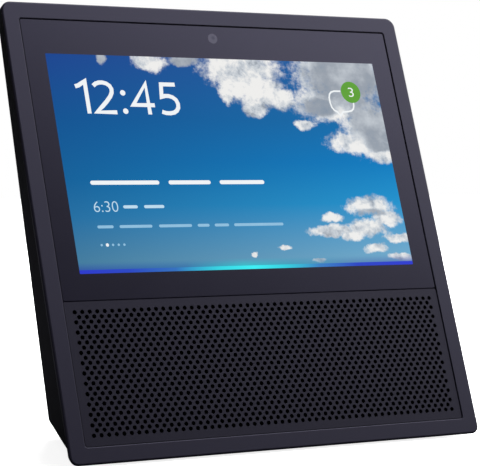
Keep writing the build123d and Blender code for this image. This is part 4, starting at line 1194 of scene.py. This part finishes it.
def pale_floor():
    """White to look at, dimmer as a source of bounced light, and dark in reflections."""
    half = FLOOR_HALF
    corners = [(-half, -half, 0), (half, -half, 0), (half, half, 0), (-half, half, 0)]
    floor = bpy.data.objects.new("floor", new_mesh("floor", corners, [[0, 1, 2, 3]]))
    made, tree, shader, point = new_finish("pale floor")
    tone = noise(tree, point, 0.02, 3.0, 0.5)
    rays = put(tree, "ShaderNodeLightPath").outputs
    pale = mix_colour(tree, tone, (0.86, 0.86, 0.86, 1), (0.9, 0.9, 0.9, 1))
    bounced = mix_colour(tree, rays["Is Camera Ray"], (0.42, 0.42, 0.44, 1), pale)
    mirrored = mix_colour(tree, rays["Is Glossy Ray"], bounced, (0.02, 0.02, 0.024, 1))
    plug(shader, "Base Color", mirrored)
    settle(shader, Roughness=0.9, Specular_IOR_Level=0.0, Emission_Color=(1, 1, 1, 1))
    glow = times(tree, rays["Is Camera Ray"], 0.85)
    plug(shader, "Emission Strength", glow)
    floor.data.materials.append(made)
    bpy.context.scene.collection.objects.link(floor)


pale_floor()

LIGHT_FROM = Vector((0.621, -0.166, 0.766)).normalized()  # the brightest side of the studio
BEHIND = Vector((0.12, 0.99, 0.0))
PEAK = 3.0
STUDIO_LIGHT = [
    (0.0, 0.10), (0.5, 0.18), (0.8, 0.20), (0.875, 0.24), (0.897, 0.31), (0.905, 0.42), (0.922, 1.1),
    (0.945, 2.65), (1.0, PEAK),
]


def studio_world():
    """White to look at. As light, brightest high on the right, and in reflections dark behind the object."""
    world = bpy.data.worlds.new("studio")
    bpy.context.scene.world = world
    world.use_nodes = True
    tree = world.node_tree
    tree.nodes.clear()
    way = put(tree, "ShaderNodeTexCoord").outputs["Generated"]
    facing = vector_maths(tree, "DOT_PRODUCT", way, LIGHT_FROM)
    level = maths(tree, "MULTIPLY_ADD", facing, 0.5, 0.5)
    shade = colour_ramp(tree, level, [(at, (v / PEAK,) * 3 + (1.0,)) for at, v in STUDIO_LIGHT])
    rays = put(tree, "ShaderNodeLightPath").outputs
    rearward = vector_maths(tree, "DOT_PRODUCT", way, BEHIND)
    dark = times(tree, ramp_between(tree, rearward, 0.3, 0.8), rays["Is Glossy Ray"])
    strength = maths(tree, "MULTIPLY_ADD", dark, -0.96 * PEAK, PEAK)
    studio = result(tree, "ShaderNodeBackground", {"Color": shade, "Strength": strength})
    plain = result(tree, "ShaderNodeBackground", {"Color": (1, 1, 1, 1), "Strength": 1.0})
    both = put(tree, "ShaderNodeMixShader", {0: rays["Is Camera Ray"], 1: studio, 2: plain})
    put(tree, "ShaderNodeOutputWorld", {"Surface": both.outputs[0]})


studio_world()


def soft_light(name, place, size, power):
    """A square lamp aimed at the object, unseen in reflections. Place and size in metres."""
    lamp = bpy.data.lights.new(name, "AREA")
    lamp.size = size
    lamp.energy = power
    made = bpy.data.objects.new(name, lamp)
    made.location = place
    made.rotation_euler = (LAMP_AIM - Vector(place)).to_track_quat("-Z", "Y").to_euler()
    made.visible_glossy = False
    bpy.context.scene.collection.objects.link(made)


LAMP_AIM = Vector((0, 0, 0.08))
soft_light("overhead", (0.5, -0.3, 1.6), 1.2, 11.0)
soft_light("rear_right", (1.0, 1.5, 0.9), 0.8, 55.0)

CAMERA_PLACE = Vector((-405.256, -704.105, 110.831)) * MM
CAMERA_TURN = math.radians(-30.204)
CAMERA_PITCH = math.radians(-1.857)
SENSOR_W = 36.0
LENS = 148.67
lens = bpy.data.cameras.new("camera")
lens.sensor_width = SENSOR_W
lens.lens = LENS
camera = bpy.data.objects.new("camera", lens)
camera.location = CAMERA_PLACE
camera.rotation_euler = (math.pi / 2 + CAMERA_PITCH, 0, CAMERA_TURN)
bpy.context.scene.collection.objects.link(camera)
bpy.context.scene.camera = camera
bpy.context.scene.view_settings.view_transform = "Standard"
